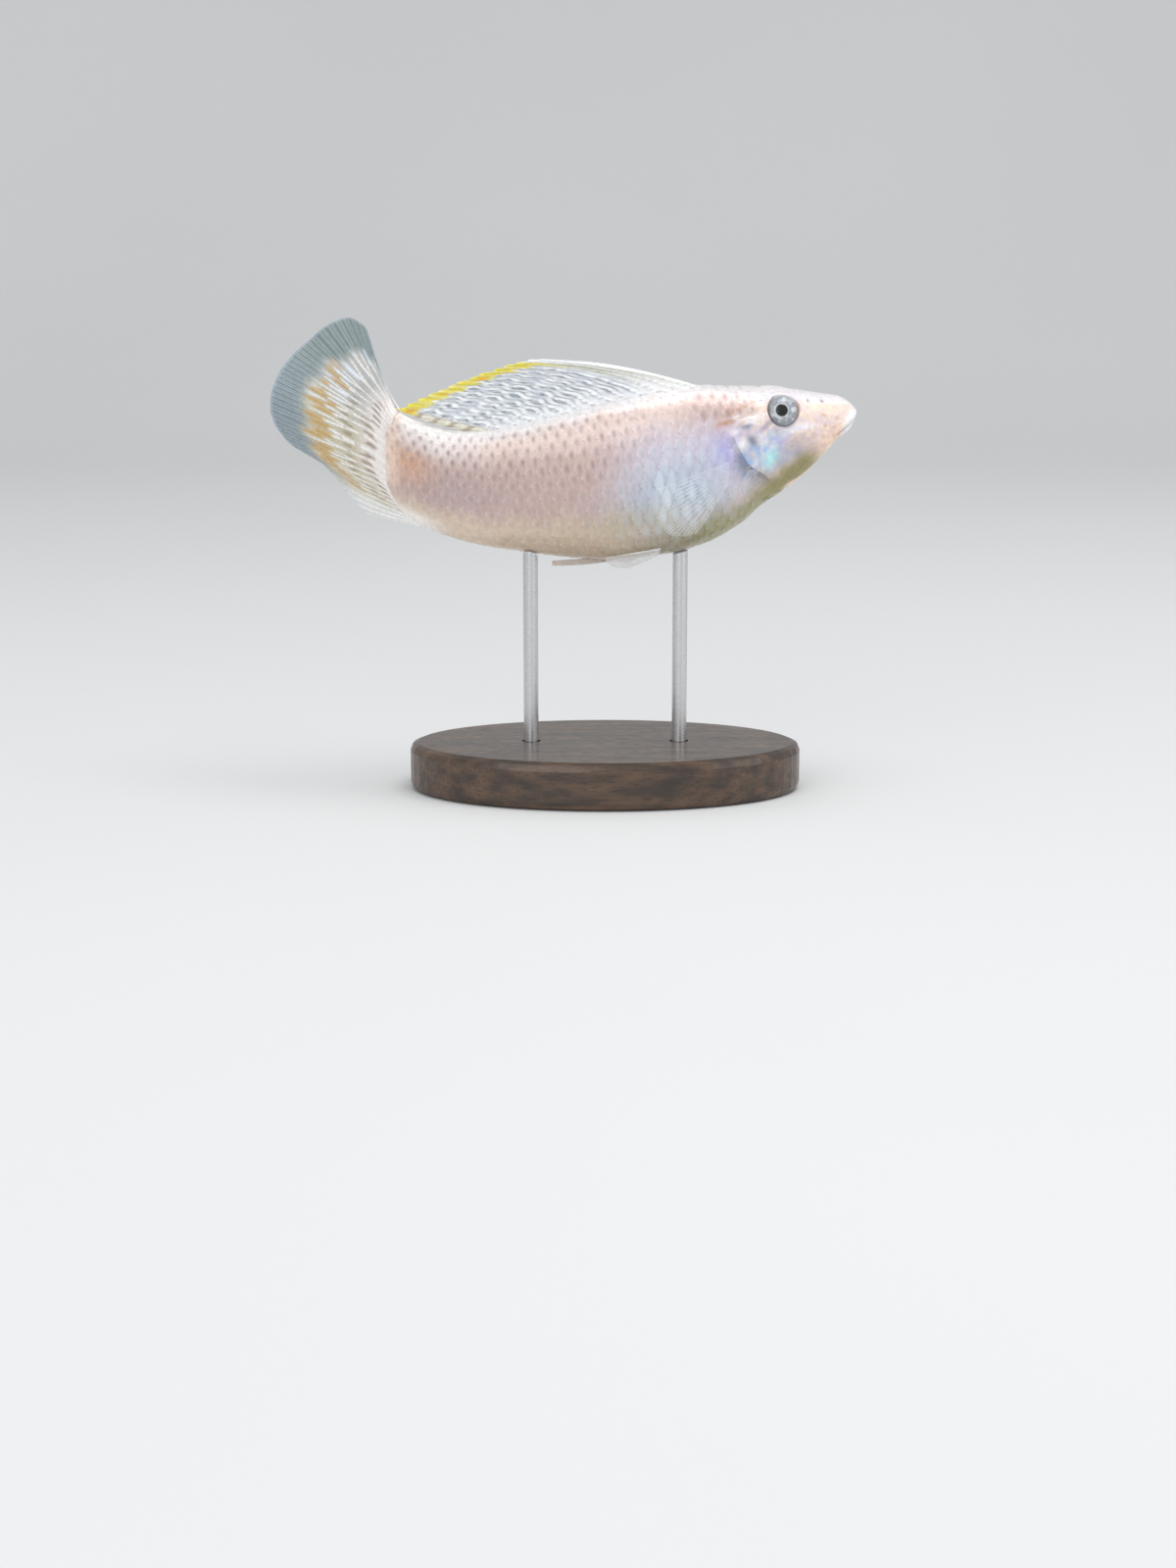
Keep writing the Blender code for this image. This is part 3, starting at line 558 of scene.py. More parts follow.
class MollyScaleSettings(bpy.types.PropertyGroup):
    pitch: measure("Pitch", 1.75 * MM, "Step from scale to scale in a row")
    rows: whole_number("Rows", 32, 8, "Rows of scales round the body, half on each side")
    length_share: plain_number("Length", 1.7, 1.1, "Length of a scale in pitches")
    width_share: plain_number("Width", 1.0, 0.6, "Half width of a scale in row steps")
    thickness: measure("Thickness", 0.04 * MM, "Thickness of a scale at its root")
    lift: measure("Lift", 0.06 * MM, "Rise of a scale from its root to its free edge")


class MollyFinSettings(bpy.types.PropertyGroup):
    web_thickness: measure("Web Thickness", 0.16 * MM, "Thickness of the web between rays")
    ray_rise: measure("Ray Rise", 0.17 * MM, "How far a ray stands out on each face at its root")
    web: colour("Web", (0.92, 0.94, 0.965), "Blue-grey web between the rays")
    ray: colour("Ray", (1.0, 0.99, 0.98), "Whitish rays")
    margin: colour("Sail Margin", (0.93, 0.87, 0.27), "Yellow edge of the folded sail")
    ember: colour("Ember", (0.93, 0.62, 0.16), "Orange spots of the sail's edge")
    olive: colour("Olive", (0.62, 0.62, 0.46), "Olive streak of the sail")
    amber: colour("Amber", (0.80, 0.63, 0.28), "Amber streaks of the tail fin")
    umber: colour("Umber", (0.54, 0.43, 0.34), "Brown dashes near the tail fin's base")
    outer: colour("Outer Zone", (0.60, 0.675, 0.71), "Blue-grey outer zone of the tail fin")


class MollyEyeSettings(bpy.types.PropertyGroup):
    radius: measure("Radius", 2.2 * MM, "Radius of the eye's rim")
    depth: measure("Depth", 1.5 * MM, "Half depth of the eye")
    sink: measure("Sink", 0.68 * MM, "How far the eye's middle lies under the skin")
    pupil: measure("Pupil", 0.88 * MM, "Radius of the pupil")
    iris: colour("Iris", (0.76, 0.78, 0.805), "Silver of the iris")
    ring: colour("Ring", (0.62, 0.63, 0.66), "Dark ring at the iris's outer edge")


class MollyStageSettings(bpy.types.PropertyGroup):
    floor: colour("Floor", (0.86, 0.86, 0.86), "Floor and backdrop")
    key_power: power("Key", 2.2, "Power of the light above")
    fill_power: power("Fill", 1.1, "Power of the light beside the camera")
    sky: plain_number("Sky", 0.70, 0.0, "Strength of the even light all round")
    camera_distance: measure("Camera Distance", 0.378, "From the camera to the fish")
    camera_tilt: FloatProperty(
        name="Camera Tilt",
        description="How far the camera looks down",
        default=math.radians(12.0),
        subtype="ANGLE",
    )
    focal_length: plain_number("Focal Length", 60.0, 1.0, "Focal length in millimetres")


# Colours of the body

# Distance, degrees off the back, half length, half height in degrees, slant, colour and strength.
HEAD_FLECKS = (
    (16.4, 41.5, 1.2, 1.8, 2.2, "rust", 0.85),
    (18.4, 48.5, 1.4, 2.0, 1.4, "rust", 0.55),
    (20.0, 61.5, 1.5, 2.8, 1.4, "rust", 1.0),
    (18.2, 57.0, 1.6, 1.8, 1.8, "lips_and_highlights", 0.85),
    (16.0, 65.0, 1.1, 3.6, 1.6, "lips_and_highlights", 0.9),
    (17.2, 71.0, 1.15, 3.2, -1.0, "slate_and_shade", 0.85),
    (19.0, 73.0, 0.8, 3.4, 1.0, "lips_and_highlights", 0.85),
    (14.3, 79.0, 1.3, 3.6, 3.0, "dusk", 0.6),
    # Painted shade in the dent near the gill cover's free edge.
    (16.5, 86.5, 0.75, 4.2, -4.0, "slate_and_shade", 0.95),
    # Painted highlight on the bump just behind that dent.
    (18.3, 85.5, 0.95, 4.4, 0.0, "lips_and_highlights", 1.0),
    (15.0, 89.0, 0.6, 5.0, -6.0, "lips_and_highlights", 0.55),
    (12.7, 93.0, 0.35, 6.0, -7.0, "slate_and_shade", 0.4),
    (13.4, 99.0, 0.9, 3.0, 3.0, "lips_and_highlights", 0.45),
    (11.2, 90.0, 2.2, 5.5, 2.0, "gill_blue", 0.45),
    (16.6, 105.0, 0.8, 3.4, 3.0, "lips_and_highlights", 0.4),
    (13.0, 76.0, 1.1, 4.0, 0.0, "slate_and_shade", 0.45),
    (5.5, 77.0, 0.4, 4.0, 0.0, "rust", 0.5),
)


def body_pigment(settings, distance, turn):
    """The body's colours as light: bands from the back to the belly, with soft patches laid over them.

    `along` is in millimetres from the snout and `down` in degrees off the back. A patch is a bell curve
    in both.
    """
    along, down = distance / MM, off_back(turn)

    def tone(name):
        return linear(getattr(settings, name))

    def patch(at, half_length, degrees, half_height):
        return bump(along, at, half_length) * bump(down, degrees, half_height)

    sway = down + 3.0 * np.sin(along * 0.9) + 2.0 * np.sin(along * 2.3 + down * 0.2)
    crown = 26.0 * ease(19.0, 13.0, along)
    upper = ease(12.0 + crown, 34.0 + crown + 16.0 * ease(44.0, 62.0, along), sway)
    flank = lay_over(tone("shoulder"), tone("middle"), ease(28.0, 40.0, along))
    shade = lay_over(tone("back"), tone("upper"), upper)
    shade = lay_over(shade, flank, ease(36.0, 78.0, sway) * ease(14.0, 24.0, along))

    # Painted shade under the body, tinted by green light from below.
    shift = 8.0 * ease(12.0, 15.0, along) - 12.0 * ease(34.0, 46.0, along)
    underside_shade = ease(104.0, 135.0, sway - shift) * ease(60.0, 30.0, along)
    underside_shade = underside_shade * ease(4.5, 8.5, along + 0.06 * (down - 135.0)) * (1 - 0.75 * ease(22.0, 40.0, along))
    blotch = ease(0.25, 0.8, np.sin(along * 2.7 + 0.13 * down) * np.sin(0.21 * down - along * 1.1))
    flash = 0.72 + 0.28 * np.sin(along * 4.3 + down * 0.35 + 1.5 * np.sin(along * 2.1 - down * 0.2))
    streaks = np.sin(along * 1.4 - down * 0.62 + 1.3 * np.sin(along * 1.7))
    streaks = ease(0.35, 0.95, 0.5 + 0.5 * streaks)
    behind = (distance - gill_line(turn)) / MM
    layers = [
        ("lips_and_highlights", 0.55 * ease(34.0, 44.0, along) * ease(44.0, 18.0, down)),
        ("lips_and_highlights", 0.6 * ease(50.0, 63.0, along) * ease(74.0, 48.0, down)),
        ("dusk", 0.35 * patch(61.0, 9.0, 92.0, 20.0)),
        ("pearl", 0.9 * patch(27.5, 7.5, 108.0, 22.0)),
        ("belly", ease(100.0, 128.0, sway) * ease(24.0, 40.0, along)),
        ("underside_shade", underside_shade),
        ("underside_shade", 0.5 * patch(32.0, 7.5, 118.0, 11.0)),
        ("fan_base", ease(118.0, 140.0, down) * ease(58.0, 65.0, along)),
        ("stalk", 0.95 * patch(65.8, 3.7, 77.0, 18.0)),
        # Painted light: the pale jaw tone brightens the stalk's rear edge, where the lamps' light falls
        # off.
        ("jaw", 0.75 * ease(66.4, 68.6, along) * ease(118.0, 92.0, down)),
        ("fan_base", 0.7 * ease(69.0, 70.4, along + 1.3 * np.cos(np.radians(down)) ** 2)),
        ("cheek", ease(18.0, 14.0, along) * ease(32.0, 58.0, down) * ease(122.0, 106.0, sway)),
        ("middle", 0.55 * patch(20.5, 4.5, 46.0, 13.0)),
        ("dusk", 0.55 * patch(10.6, 3.0, 107.0, 10.0)),
        ("jaw", ease(7.5, 4.0, along) * ease(86.0, 112.0, down)),
        ("jaw", 0.9 * ease(12.5, 10.5, along) * ease(151.0, 160.0, down + 1.6 * (along - 8.0))),
        # Painted shade under the chin, in a warm rust tone.
        ("rust", 0.3 * bump(along, 2.2, 1.6) * ease(120.0, 140.0, down)),
        ("pearl", 0.6 * patch(12.0, 2.8, 114.0, 8.0)),
        ("rust", 0.34 * blotch * ease(2.0, 4.0, along) * ease(9.5, 6.0, along) * bump(down, 98.0, 22.0)),
        ("gill_violet", 0.8 * patch(20.4, 2.2, 87.0, 15.0)),
        ("gill_blue", flash * ease(11.6, 13.6, along) * ease(19.4, 17.6, along) * bump(down, 98.0, 17.0)),
        ("gill_violet", 0.7 * patch(12.3, 1.3, 97.0, 7.0)),
        ("gill_mint", 0.95 * patch(13.9, 1.15, 107.0, 7.5)),
        ("rust", 0.9 * patch(18.0, 2.4, 53.0, 13.0) * streaks),
        # Painted glints between the rust streaks.
        ("lips_and_highlights", 0.75 * patch(16.4, 1.9, 66.0, 8.0) * (1 - 0.6 * streaks)),
    ]
    for at, degrees, half_length, half_height, slant, name, share in HEAD_FLECKS:
        drop = down - degrees - slant * (along - at)
        layers.append((name, share * bump(along, at, half_length) * bump(drop, 0.0, half_height)))
    ridge = bump(along + 0.03 * (down - 92.0), 9.4, 2.9) * bump(down, 92.5, 3.6)
    mouth = ease(2.3, 1.0, np.abs(mouth_offset(distance, turn))) * ease(3.4, 1.6, along)
    layers += [
        # Painted shadow of the gill cover's edge on the skin just behind the slit.
        ("slate_and_shade", 0.6 * bump(behind, 0.95, 0.75) * ease(90.0, 100.0, down) * ease(136.0, 120.0, down)),
        ("lips_and_highlights", 0.85 * ridge),
        ("lips_and_highlights", mouth),
    ]
    return layered(shade, ((tone(name), share) for name, share in layers))


def spot_strength(distance, turn):
    """How dark the scales' spots are: strong high on the rear flank, faint elsewhere."""
    along, down = distance / MM, off_back(turn)
    high = ease(14.0, 30.0, down) * ease(112.0, 66.0, down)
    high = high * ease(24.0, 38.0, along) * (1 - 0.4 * ease(62.0, 68.0, along))
    nape = ease(16.0, 28.0, down) * ease(62.0, 46.0, down) * ease(26.0, 20.0, along)
    low = ease(12.0, 22.0, down) * ease(135.0, 108.0, down) * ease(24.0, 32.0, along)
    return np.maximum(np.maximum(0.64 * high, 0.6 * nape), 0.3 * low)


def blush_strength(distance, turn):
    """How strong the warm shade round each spot is: strongest behind the head, weaker on the flank."""
    along, down = distance / MM, off_back(turn)
    nape = bump(along, 21.0, 5.0) * ease(14.0, 24.0, down) * ease(66.0, 50.0, down)
    upper = ease(24.0, 40.0, along) * ease(16.0, 32.0, down) * ease(84.0, 60.0, down)
    return np.maximum(0.85 * nape, 0.34 * upper)


def gleam_strength(distance, turn):
    """How strong the painted highlight in the middle of each scale is: strongest low on the shoulder."""
    return 0.8 * bump(distance / MM, 27.0, 7.0) * bump(off_back(turn), 102.0, 28.0) + 0.12


# Skin

SKIN_NODES = ("head", "lower_jaw", "torso", "tail_stalk", "gill_cover_right", "gill_cover_left")
GILL_EDGE = 0.3 * MM
GILL_RINGS = 12
SNOUT_CROWDING = 1.6
COAT_STEP = 1.2 * MM
NAPE_COAT = (12.6 * MM, 14 * MM)


class MOLLY_OT_skin(bpy.types.Operator):
    """Build the skin from the snout to the tail fin as one closed surface"""

    bl_idname = "molly.skin"
    bl_label = "Build Skin"

    def execute(self, context):
        settings = context.scene.molly_skin
        distance, turn = self.rings(settings)
        gill = gill_line(turn)
        behind_gill = ease(gill, gill + COAT_STEP, distance)
        sunk = np.where(gill_gate(turn) > 0.5, behind_gill, ease(*NAPE_COAT, distance))
        points = skin_point(distance, turn, head_relief(distance, turn) - settings.coat_depth * sunk)
        index, following, walls = ring_faces(*distance.shape)
        tip = fan_faces(index.size, index[0], following[0])
        faces = walls + tip + self.rear_faces(index[-1])
        flat = self.with_snout(points)
        piece = add_piece("skin", flat, faces, self.finish(), SKIN_NODES)
        paint(piece, "pigment", self.with_snout(self.pigment(settings, distance, turn)))
        places = np.stack([distance / STANDARD_LENGTH, turn / (2 * math.pi)], axis=-1).reshape(-1, 2)
        map_onto(piece, "body", np.concatenate([places, [[0.0, 0.5]]]))
        return {"FINISHED"}

    def rings(self, settings):
        """Distance and turn of each point, in rings that crowd at the snout and along the gill slit."""
        turns = np.arange(settings.sides) * 2 * math.pi / settings.sides
        gill = gill_line(turns)
        shares = (np.arange(1, settings.head_rings + 1) / settings.head_rings) ** SNOUT_CROWDING
        head = shares[:, None] * (gill - GILL_EDGE)
        slit = gill + np.linspace(-GILL_EDGE, GILL_EDGE, GILL_RINGS + 2)[1:-1, None]
        shares = np.linspace(0.0, 1.0, settings.body_rings)[:, None]
        body = gill + GILL_EDGE + shares * (stalk_end(turns) - gill - GILL_EDGE)
        distance = np.concatenate([head, slit, body])
        return distance, np.broadcast_to(turns, distance.shape)

    def rear_faces(self, last):
        """Closes the rear ring with rungs between its two sides and a triangle at each end."""
        half = len(last) // 2
        rung = np.arange(1, half - 1)
        rungs = np.stack([last[rung], last[-rung], last[-rung - 1], last[rung + 1]], axis=-1).tolist()
        return rungs + [(last[0], last[-1], last[1]), (last[half - 1], last[half + 1], last[half])]

    def with_snout(self, rings):
        """The rings' values in one list, and at its end the first ring's mean for the snout's point."""
        return np.concatenate([rings.reshape(-1, 3), rings[0].mean(axis=0, keepdims=True)])

    def pigment(self, settings, distance, turn):
        """The body's colours, with painted shade in the mouth, the nostrils, the gill slit and the rims of
        the eyes.
        """
        gate, down = gill_gate(turn), off_back(turn)
        behind = (distance - gill_line(turn)) / MM
        front = (distance - cover_line(turn)) / MM
        open_part = gate * ease(66.0, 98.0, down) * ease(134.0, 112.0, down)
        mouth = bump(mouth_offset(distance, turn), 0.0, 0.11) * ease(3.6 * MM, 3.0 * MM, distance)
        slit = 0.3 * open_part * bump(behind, 0.3, 0.5)
        groove = 0.05 * gate * bump(front, 0.0, 0.3)
        shadows = [0.6 * mouth, slit, groove]
        points = plain_skin(distance, turn)
        for side in (1, -1):
            radius, near = around_landmark(points, EYE_DISTANCE, EYE_TURN, side, EYE_REACH_IN)
            shadows.append(0.3 * near * ease(2.5, 2.2, radius))
            for place, degrees, size in NOSTRILS:
                radius, near = around_landmark(points, place, degrees, side, NOSTRIL_REACH_IN)
                shadows.append(0.45 * near * ease(size * 1.25, size * 0.6, radius))
        return body_pigment(settings, distance, turn) * (1 - np.maximum.reduce(shadows)[..., None])

    def finish(self):
        """Wet skin: painted colours, fine mottling, a clear coat and a little light passing under it."""
        shader = Shader(
            "wet skin",
            Metallic=0.0,
            IOR=1.42,
            Coat_Weight=0.55,
            Coat_Roughness=0.14,
            Subsurface_Weight=0.12,
            Subsurface_Radius=(1.0, 0.6, 0.45),
            Subsurface_Scale=1.2 * MM,
        )
        mottle = shader.span(shader.noise(1500.0, 5.0), 0.35, 0.68, 0.86, 1.08)
        cloud = shader.span(shader.noise(330.0, 3.0), 0.3, 0.7, 0.93, 1.06)
        shader.link(shader.tinted(shader.attribute("pigment"), mottle, cloud), "Base Color")
        shader.rough(shader.noise(900.0), 0.26, 0.42)
        shader.relief(shader.noise(2600.0, 4.0), 0.22, 0.08 * MM)
        return shader.material


# Scales

SCALE_STATIONS = (0.0, 0.3, 0.52, 0.7, 0.84, 0.94, 1.0)
SCALE_COLUMNS = 7
SCALE_WIDEST = 0.48
SCALE_ROOT_WIDTH = 0.72
SCALE_DOME = 0.08 * MM
SCALE_BED = 0.02 * MM
NAPE_TURN = 60.0
NAPE_START = 12.9 * MM
GILL_MARGIN = 0.5 * MM
STALK_OVERHANG = 0.15 * MM
# Between these distances the scales' lift falls to half.
FLATTENING = (62 * MM, 68 * MM)
# Millimetres from the eye's axis within which there are no scales.
BARE_ROUND_EYE = 3.7
# Side of a scale's own patch on the OFBake map.
MAP_PATCH = 0.003
# Painted highlight along each scale's free edge, where it catches the light.
SCALE_EDGE_HIGHLIGHT = (0.93, 0.90, 0.90)


class MOLLY_OT_scales(bpy.types.Operator):
    """Lay thin overlapping scales over the skin behind the head, in staggered rows"""

    bl_idname = "molly.scales"
    bl_label = "Build Scales"

    def execute(self, context):
        finish = self.finish(context.scene.molly_skin)
        for side, word in ((1, "right"), (-1, "left")):
            self.coat(context.scene.molly_scales, context.scene.molly_skin, side, f"scales_{word}", finish)
        return {"FINISHED"}

    def roots(self, settings, side):
        """Distance and turn of each scale's root, in rows of which every other one is half a step on."""
        rows = settings.rows // 2
        count = int(STANDARD_LENGTH / settings.pitch) + 2
        length = settings.length_share * settings.pitch
        row, order = np.meshgrid(np.arange(rows), np.arange(count), indexing="ij")
        turn = (row + 0.5) * (2 * math.pi / settings.rows) * side
        root = (order + 0.5 * (row % 2)) * settings.pitch
        start = np.where(off_back(turn) < NAPE_TURN, NAPE_START, gill_line(turn) + GILL_MARGIN)
        middle = plain_skin(root + 0.4 * length, turn)
        from_eye = around_landmark(middle, EYE_DISTANCE, EYE_TURN, side, EYE_REACH_IN)[0]
        kept = (root > start) & (root + 0.7 * length < stalk_end(turn)) & (from_eye > BARE_ROUND_EYE)
        return root[kept], turn[kept]

    def coat(self, settings, skin, side, name, finish):
        """Every scale is one grid of points over the skin. It runs back from its root and rises evenly.

        Its half width grows to its widest point, and from there closes to a round free edge as half an
        ellipse does.
        """
        root, turn = self.roots(settings, side)
        draw = np.random.default_rng(7 + side)
        count, length = len(root), settings.length_share * settings.pitch

        def each_scale(values):
            return values[:, None, None]

        along = np.array(SCALE_STATIONS)[None, :, None]
        across = np.linspace(-1.0, 1.0, SCALE_COLUMNS)[None, None, :]
        shape = (count, len(SCALE_STATIONS), SCALE_COLUMNS)
        past = np.maximum(along - SCALE_WIDEST, 0.0) / (1 - SCALE_WIDEST) * 0.99
        growing = SCALE_ROOT_WIDTH + (1 - SCALE_ROOT_WIDTH) * (along / SCALE_WIDEST)
        half = np.where(along < SCALE_WIDEST, growing, np.sqrt(np.maximum(1 - past**2, 0.0)))
        half = settings.width_share * (2 * math.pi / settings.rows) * half
        sway = each_scale(draw.normal(0.0, 0.010, count)) * along
        distance = each_scale(root) + along * length * (1 + each_scale(draw.normal(0.0, 0.02, count)))
        distance = np.broadcast_to(distance - 0.10 * length * across**2 * (along > 0.2), shape)
        angle = np.broadcast_to(each_scale(turn) + half * across + sway, shape)
        distance = np.minimum(distance, stalk_end(angle) + STALK_OVERHANG)
        settle = each_scale(draw.uniform(-0.004, 0.008, count)) * MM
        lift = settings.lift * each_scale(1 - 0.5 * ease(*FLATTENING, root))
        top = head_relief(distance, angle) - skin.coat_depth + SCALE_BED + settings.thickness
        top = top + (lift + settle) * along + SCALE_DOME * (1 - across**2) * along * (1 - 0.7 * along)
        thin = settings.thickness * (1 - 0.55 * along)
        faces_of_one = slab_faces(len(SCALE_STATIONS), SCALE_COLUMNS)
        if side < 0:
            faces_of_one = faces_of_one[:, ::-1]
        each = 2 * len(SCALE_STATIONS) * SCALE_COLUMNS
        faces = (faces_of_one[None] + each_scale(np.arange(count) * each)).reshape(-1, 4)
        outer, inner = (skin_point(distance, angle, height) for height in (top, top - thin))
        points = np.stack([outer, inner], axis=1)
        piece = add_piece(name, points, faces.tolist(), finish)

        both_faces = (np.stack([values, values], axis=1).reshape(-1) for values in (distance, angle))
        paint(piece, "pigment", body_pigment(skin, *both_faces))
        spot = spot_strength(root + 0.6 * length, turn)
        paint(piece, "spot", np.repeat(spot, each) * np.repeat(draw.uniform(0.7, 1.1, count), each))
        blush = blush_strength(root + 0.6 * length, turn) * draw.uniform(0.5, 1.2, count)
        paint(piece, "blush", np.repeat(blush, each))
        gleam = gleam_strength(root, turn) * draw.uniform(0.6, 1.1, count)
        paint(piece, "gleam", np.repeat(gleam, each))
        plate = np.stack(np.broadcast_arrays(along, (across + 1) / 2), axis=-1)
        plate = np.broadcast_to(plate[:, None], (count, 2, *shape[1:], 2)).reshape(-1, 2)
        map_onto(piece, "plate", plate)
        home = np.stack([root / STANDARD_LENGTH, np.mod(turn / (2 * math.pi), 1.0)], axis=-1)
        map_onto(piece, "OFBake", np.repeat(home, each, axis=0) + (plate - 0.5) * MAP_PATCH)

    def finish(self, skin):
        """Pearly scale: painted colours, a dark spot, painted highlights in its middle and along its free
        edge, and fine rings.
        """
        shader = Shader("pearly scale", Metallic=0.12, IOR=1.5, Coat_Weight=0.7, Coat_Roughness=0.16)
        plate = shader.node("ShaderNodeUVMap", uv_map="plate").outputs["UV"]
        parts = shader.node("ShaderNodeSeparateXYZ", {"Vector": plate}).outputs
        along = shader.math("MULTIPLY", shader.math("SUBTRACT", parts["X"], 0.68), 1.35)
        across = shader.math("MULTIPLY", shader.math("SUBTRACT", parts["Y"], 0.5), 0.64)
        squares = (shader.math("POWER", way, 2.0) for way in (along, across))
        reach = shader.math("SQRT", shader.math("ADD", *squares))

        def within(outside, inside, strength):
            return shader.math("MULTIPLY", shader.span(reach, outside, inside, 0.0, 1.0), strength)

        dot = within(0.18, 0.04, shader.attribute("spot", "Fac"))
        ragged = shader.math("MULTIPLY", dot, shader.span(shader.noise(2400.0), 0.3, 0.65, 0.6, 1.0))
        warm = within(0.42, 0.08, shader.attribute("blush", "Fac"))
        # Painted highlights: a bright middle where each scale domes, and a pale free edge where it catches
        # the light.
        gleam = within(0.42, 0.05, shader.attribute("gleam", "Fac"))
        edge = shader.math("MULTIPLY", shader.span(parts["X"], 0.82, 0.99, 0.0, 1.0), 0.3)
        mottle = shader.span(shader.noise(1300.0, 4.0), 0.35, 0.7, 0.9, 1.08)
        shade = shader.mix(warm, shader.tinted(shader.attribute("pigment"), mottle), linear(skin.blush))
        shade = shader.mix(edge, shade, SCALE_EDGE_HIGHLIGHT)
        shade = shader.mix(gleam, shade, linear(skin.scale_highlight))
        shader.link(shader.mix(ragged, shade, linear(skin.spot)), "Base Color")
        shader.rough(shader.noise(1100.0), 0.24, 0.40)
        shader.relief(shader.math("SINE", shader.math("MULTIPLY", reach, 95.0)), 0.12, 0.02 * MM)
        return shader.material


# Shapes of the fins

DORSAL_START = 22.2 * MM
DORSAL_END = 55.0 * MM
DORSAL_KNOTS = (0.0, 0.25, 0.5, 0.75, 1.0)
DORSAL_LENGTHS = (23.7, 20.9, 18.6, 15.4, 12.8)
DORSAL_ROOT_ANGLES = (24.0, 34.0, 37.0, 32.0, 4.0)
DORSAL_TIP_ANGLES = (9.0, 5.0, 2.0, 8.0, 28.0)
DORSAL_ROOT_IN = 0.25 * MM
# Millimetres added to each ray's length for the part that lies in the flesh.
DORSAL_BURIED = 0.5

TAIL_KNOTS = (0.0, 0.04, 0.07, 0.1, 0.15, 0.2, 0.35, 0.5, 0.65, 0.8, 0.9, 1.0)
TAIL_LENGTHS = (10.2, 12.0, 13.6, 15.1, 16.5, 17.8, 19.3, 19.8, 19.0, 17.0, 15.2, 12.5)
TAIL_ROOT_ANGLES = (49.0, 50.0, 49.0, 45.0, 35.0, 24.0, 16.0, 12.0, 7.0, 2.0, -6.0, -16.0)
TAIL_TIP_ANGLES = (63.0, 59.0, 51.0, 41.0, 29.0, 17.0, 12.0, 12.0, 9.0, 6.0, -2.0, -14.0)
TAIL_SWINGS = (11.0, 13.0, 13.5, 15.0, 12.5, 10.0, 0.0, -6.0, -2.0, 8.0, 11.0, 12.0)
TAIL_ROOT_IN = 0.7 * MM
TAIL_ROOT_SPREAD = 0.97
TAIL_BURIED = 1.0

PAIR_KNOTS = (0.0, 0.35, 0.7, 1.0)
# The base of a paired fin slants back as it goes down, and its rays start a little forward and out.
PAIR_BASE_DOWN = 0.94
PAIR_BASE_BACK = 0.34
PAIR_ROOT_OUT = 0.35 * MM
PAIR_ROOT_FORWARD = 0.3 * MM
PECTORAL = {
    "distance": 20.6 * MM,
    "turn": 101.0,
    "base": 3.2 * MM,
    "lengths": (12.5, 13.5, 12.5, 8.5),
    "fan": (8.0, -2.0, -16.0, -34.0),
    "stand_out": 20.0,
    "rays": 13,
    "grid": (157, 60),
    "cover": (0.04, 0.2),
}
PELVIC = {
    "distance": 31.4 * MM,
    "turn": 154.0,
    "base": 1.8 * MM,
    "lengths": (8.2, 7.8, 6.4, 4.6),
    "fan": (6.0, -2.0, -12.0, -22.0),
    "stand_out": 5.0,
    "rays": 7,
    "grid": (85, 44),
    "cover": (0.3, 0.35),
}

ANAL_START = 35.6 * MM
ANAL_BASE = 2.8 * MM
ANAL_LENGTH = 10.8 * MM
ANAL_TIP_DROP = 1.3 * MM
ANAL_TIP_HEIGHT = 0.7 * MM
ANAL_BOW = 1.6 * MM
ANAL_ROOT_IN = 0.3 * MM
ANAL_RAYS = 4
ANAL_GRID = (49, 60)

FinGrid = namedtuple("FinGrid", "piece across along ridge number off")


def ray_paths(root, direction_at, length, along, steps=24):
    """Points along curved rays: their directions summed from the root, read at each share of the way."""
    middles = (np.arange(steps) + 0.5) / steps
    moves = np.stack([direction_at(share) for share in middles]) * (length / steps)[None, ..., None]
    path = np.concatenate([root[None], root[None] + np.cumsum(moves, axis=0)])
    place = np.clip(along, 0.0, 1.0) * steps
    low = np.clip(np.floor(place).astype(int), 0, steps - 1)
    share = (place - low)[..., None]
    column, row = np.indices(along.shape)
    return path[low, column, row] * (1 - share) + path[low + 1, column, row] * share


def aimed(tail, back, left, up_angle, left_angle):
    """Unit vectors that point to the tail, raised towards the back and then swung towards the left side."""
    up, swing = np.radians(up_angle)[..., None], np.radians(left_angle)[..., None]
    return (tail * np.cos(up) + back * np.sin(up)) * np.cos(swing) + left * np.sin(swing)


def dorsal_sheet(across, along):
    """The folded sail: each ray leaves the back and curves down towards the tail."""
    distance = DORSAL_START + across * (DORSAL_END - DORSAL_START)
    root = skin_point(distance, np.zeros_like(distance), np.full_like(distance, -DORSAL_ROOT_IN))
    tail, back, right = spine_directions(distance)
    tables = (DORSAL_ROOT_ANGLES, DORSAL_TIP_ANGLES, DORSAL_LENGTHS)
    start, end, length = (smooth(across, DORSAL_KNOTS, values) for values in tables)

    def direction(share):
        return aimed(tail, back, -right, start + (end - start) * share, np.zeros_like(across))

    return ray_paths(root, direction, (length + DORSAL_BURIED) * MM, along)


def tail_sheet(across, along):
    """The tail fin: rays fan out from the stalk's rear edge, and swing more towards their tips."""
    turn = across * math.pi
    distance = stalk_end(turn)
    height = section(distance, turn)[1] * TAIL_ROOT_SPREAD
    root = from_spine(distance - TAIL_ROOT_IN, np.zeros_like(distance), height)
    tail, back, right = (np.broadcast_to(way, root.shape) for way in spine_directions(np.array(STALK_END)))
    tables = (TAIL_ROOT_ANGLES, TAIL_TIP_ANGLES, TAIL_SWINGS, TAIL_LENGTHS)
    start, end, swing, length = (smooth(across, TAIL_KNOTS, values) for values in tables)

    def direction(share):
        return aimed(tail, back, -right, start + (end - start) * share, swing * (0.5 + share))

    return ray_paths(root, direction, (length + TAIL_BURIED) * MM, along)


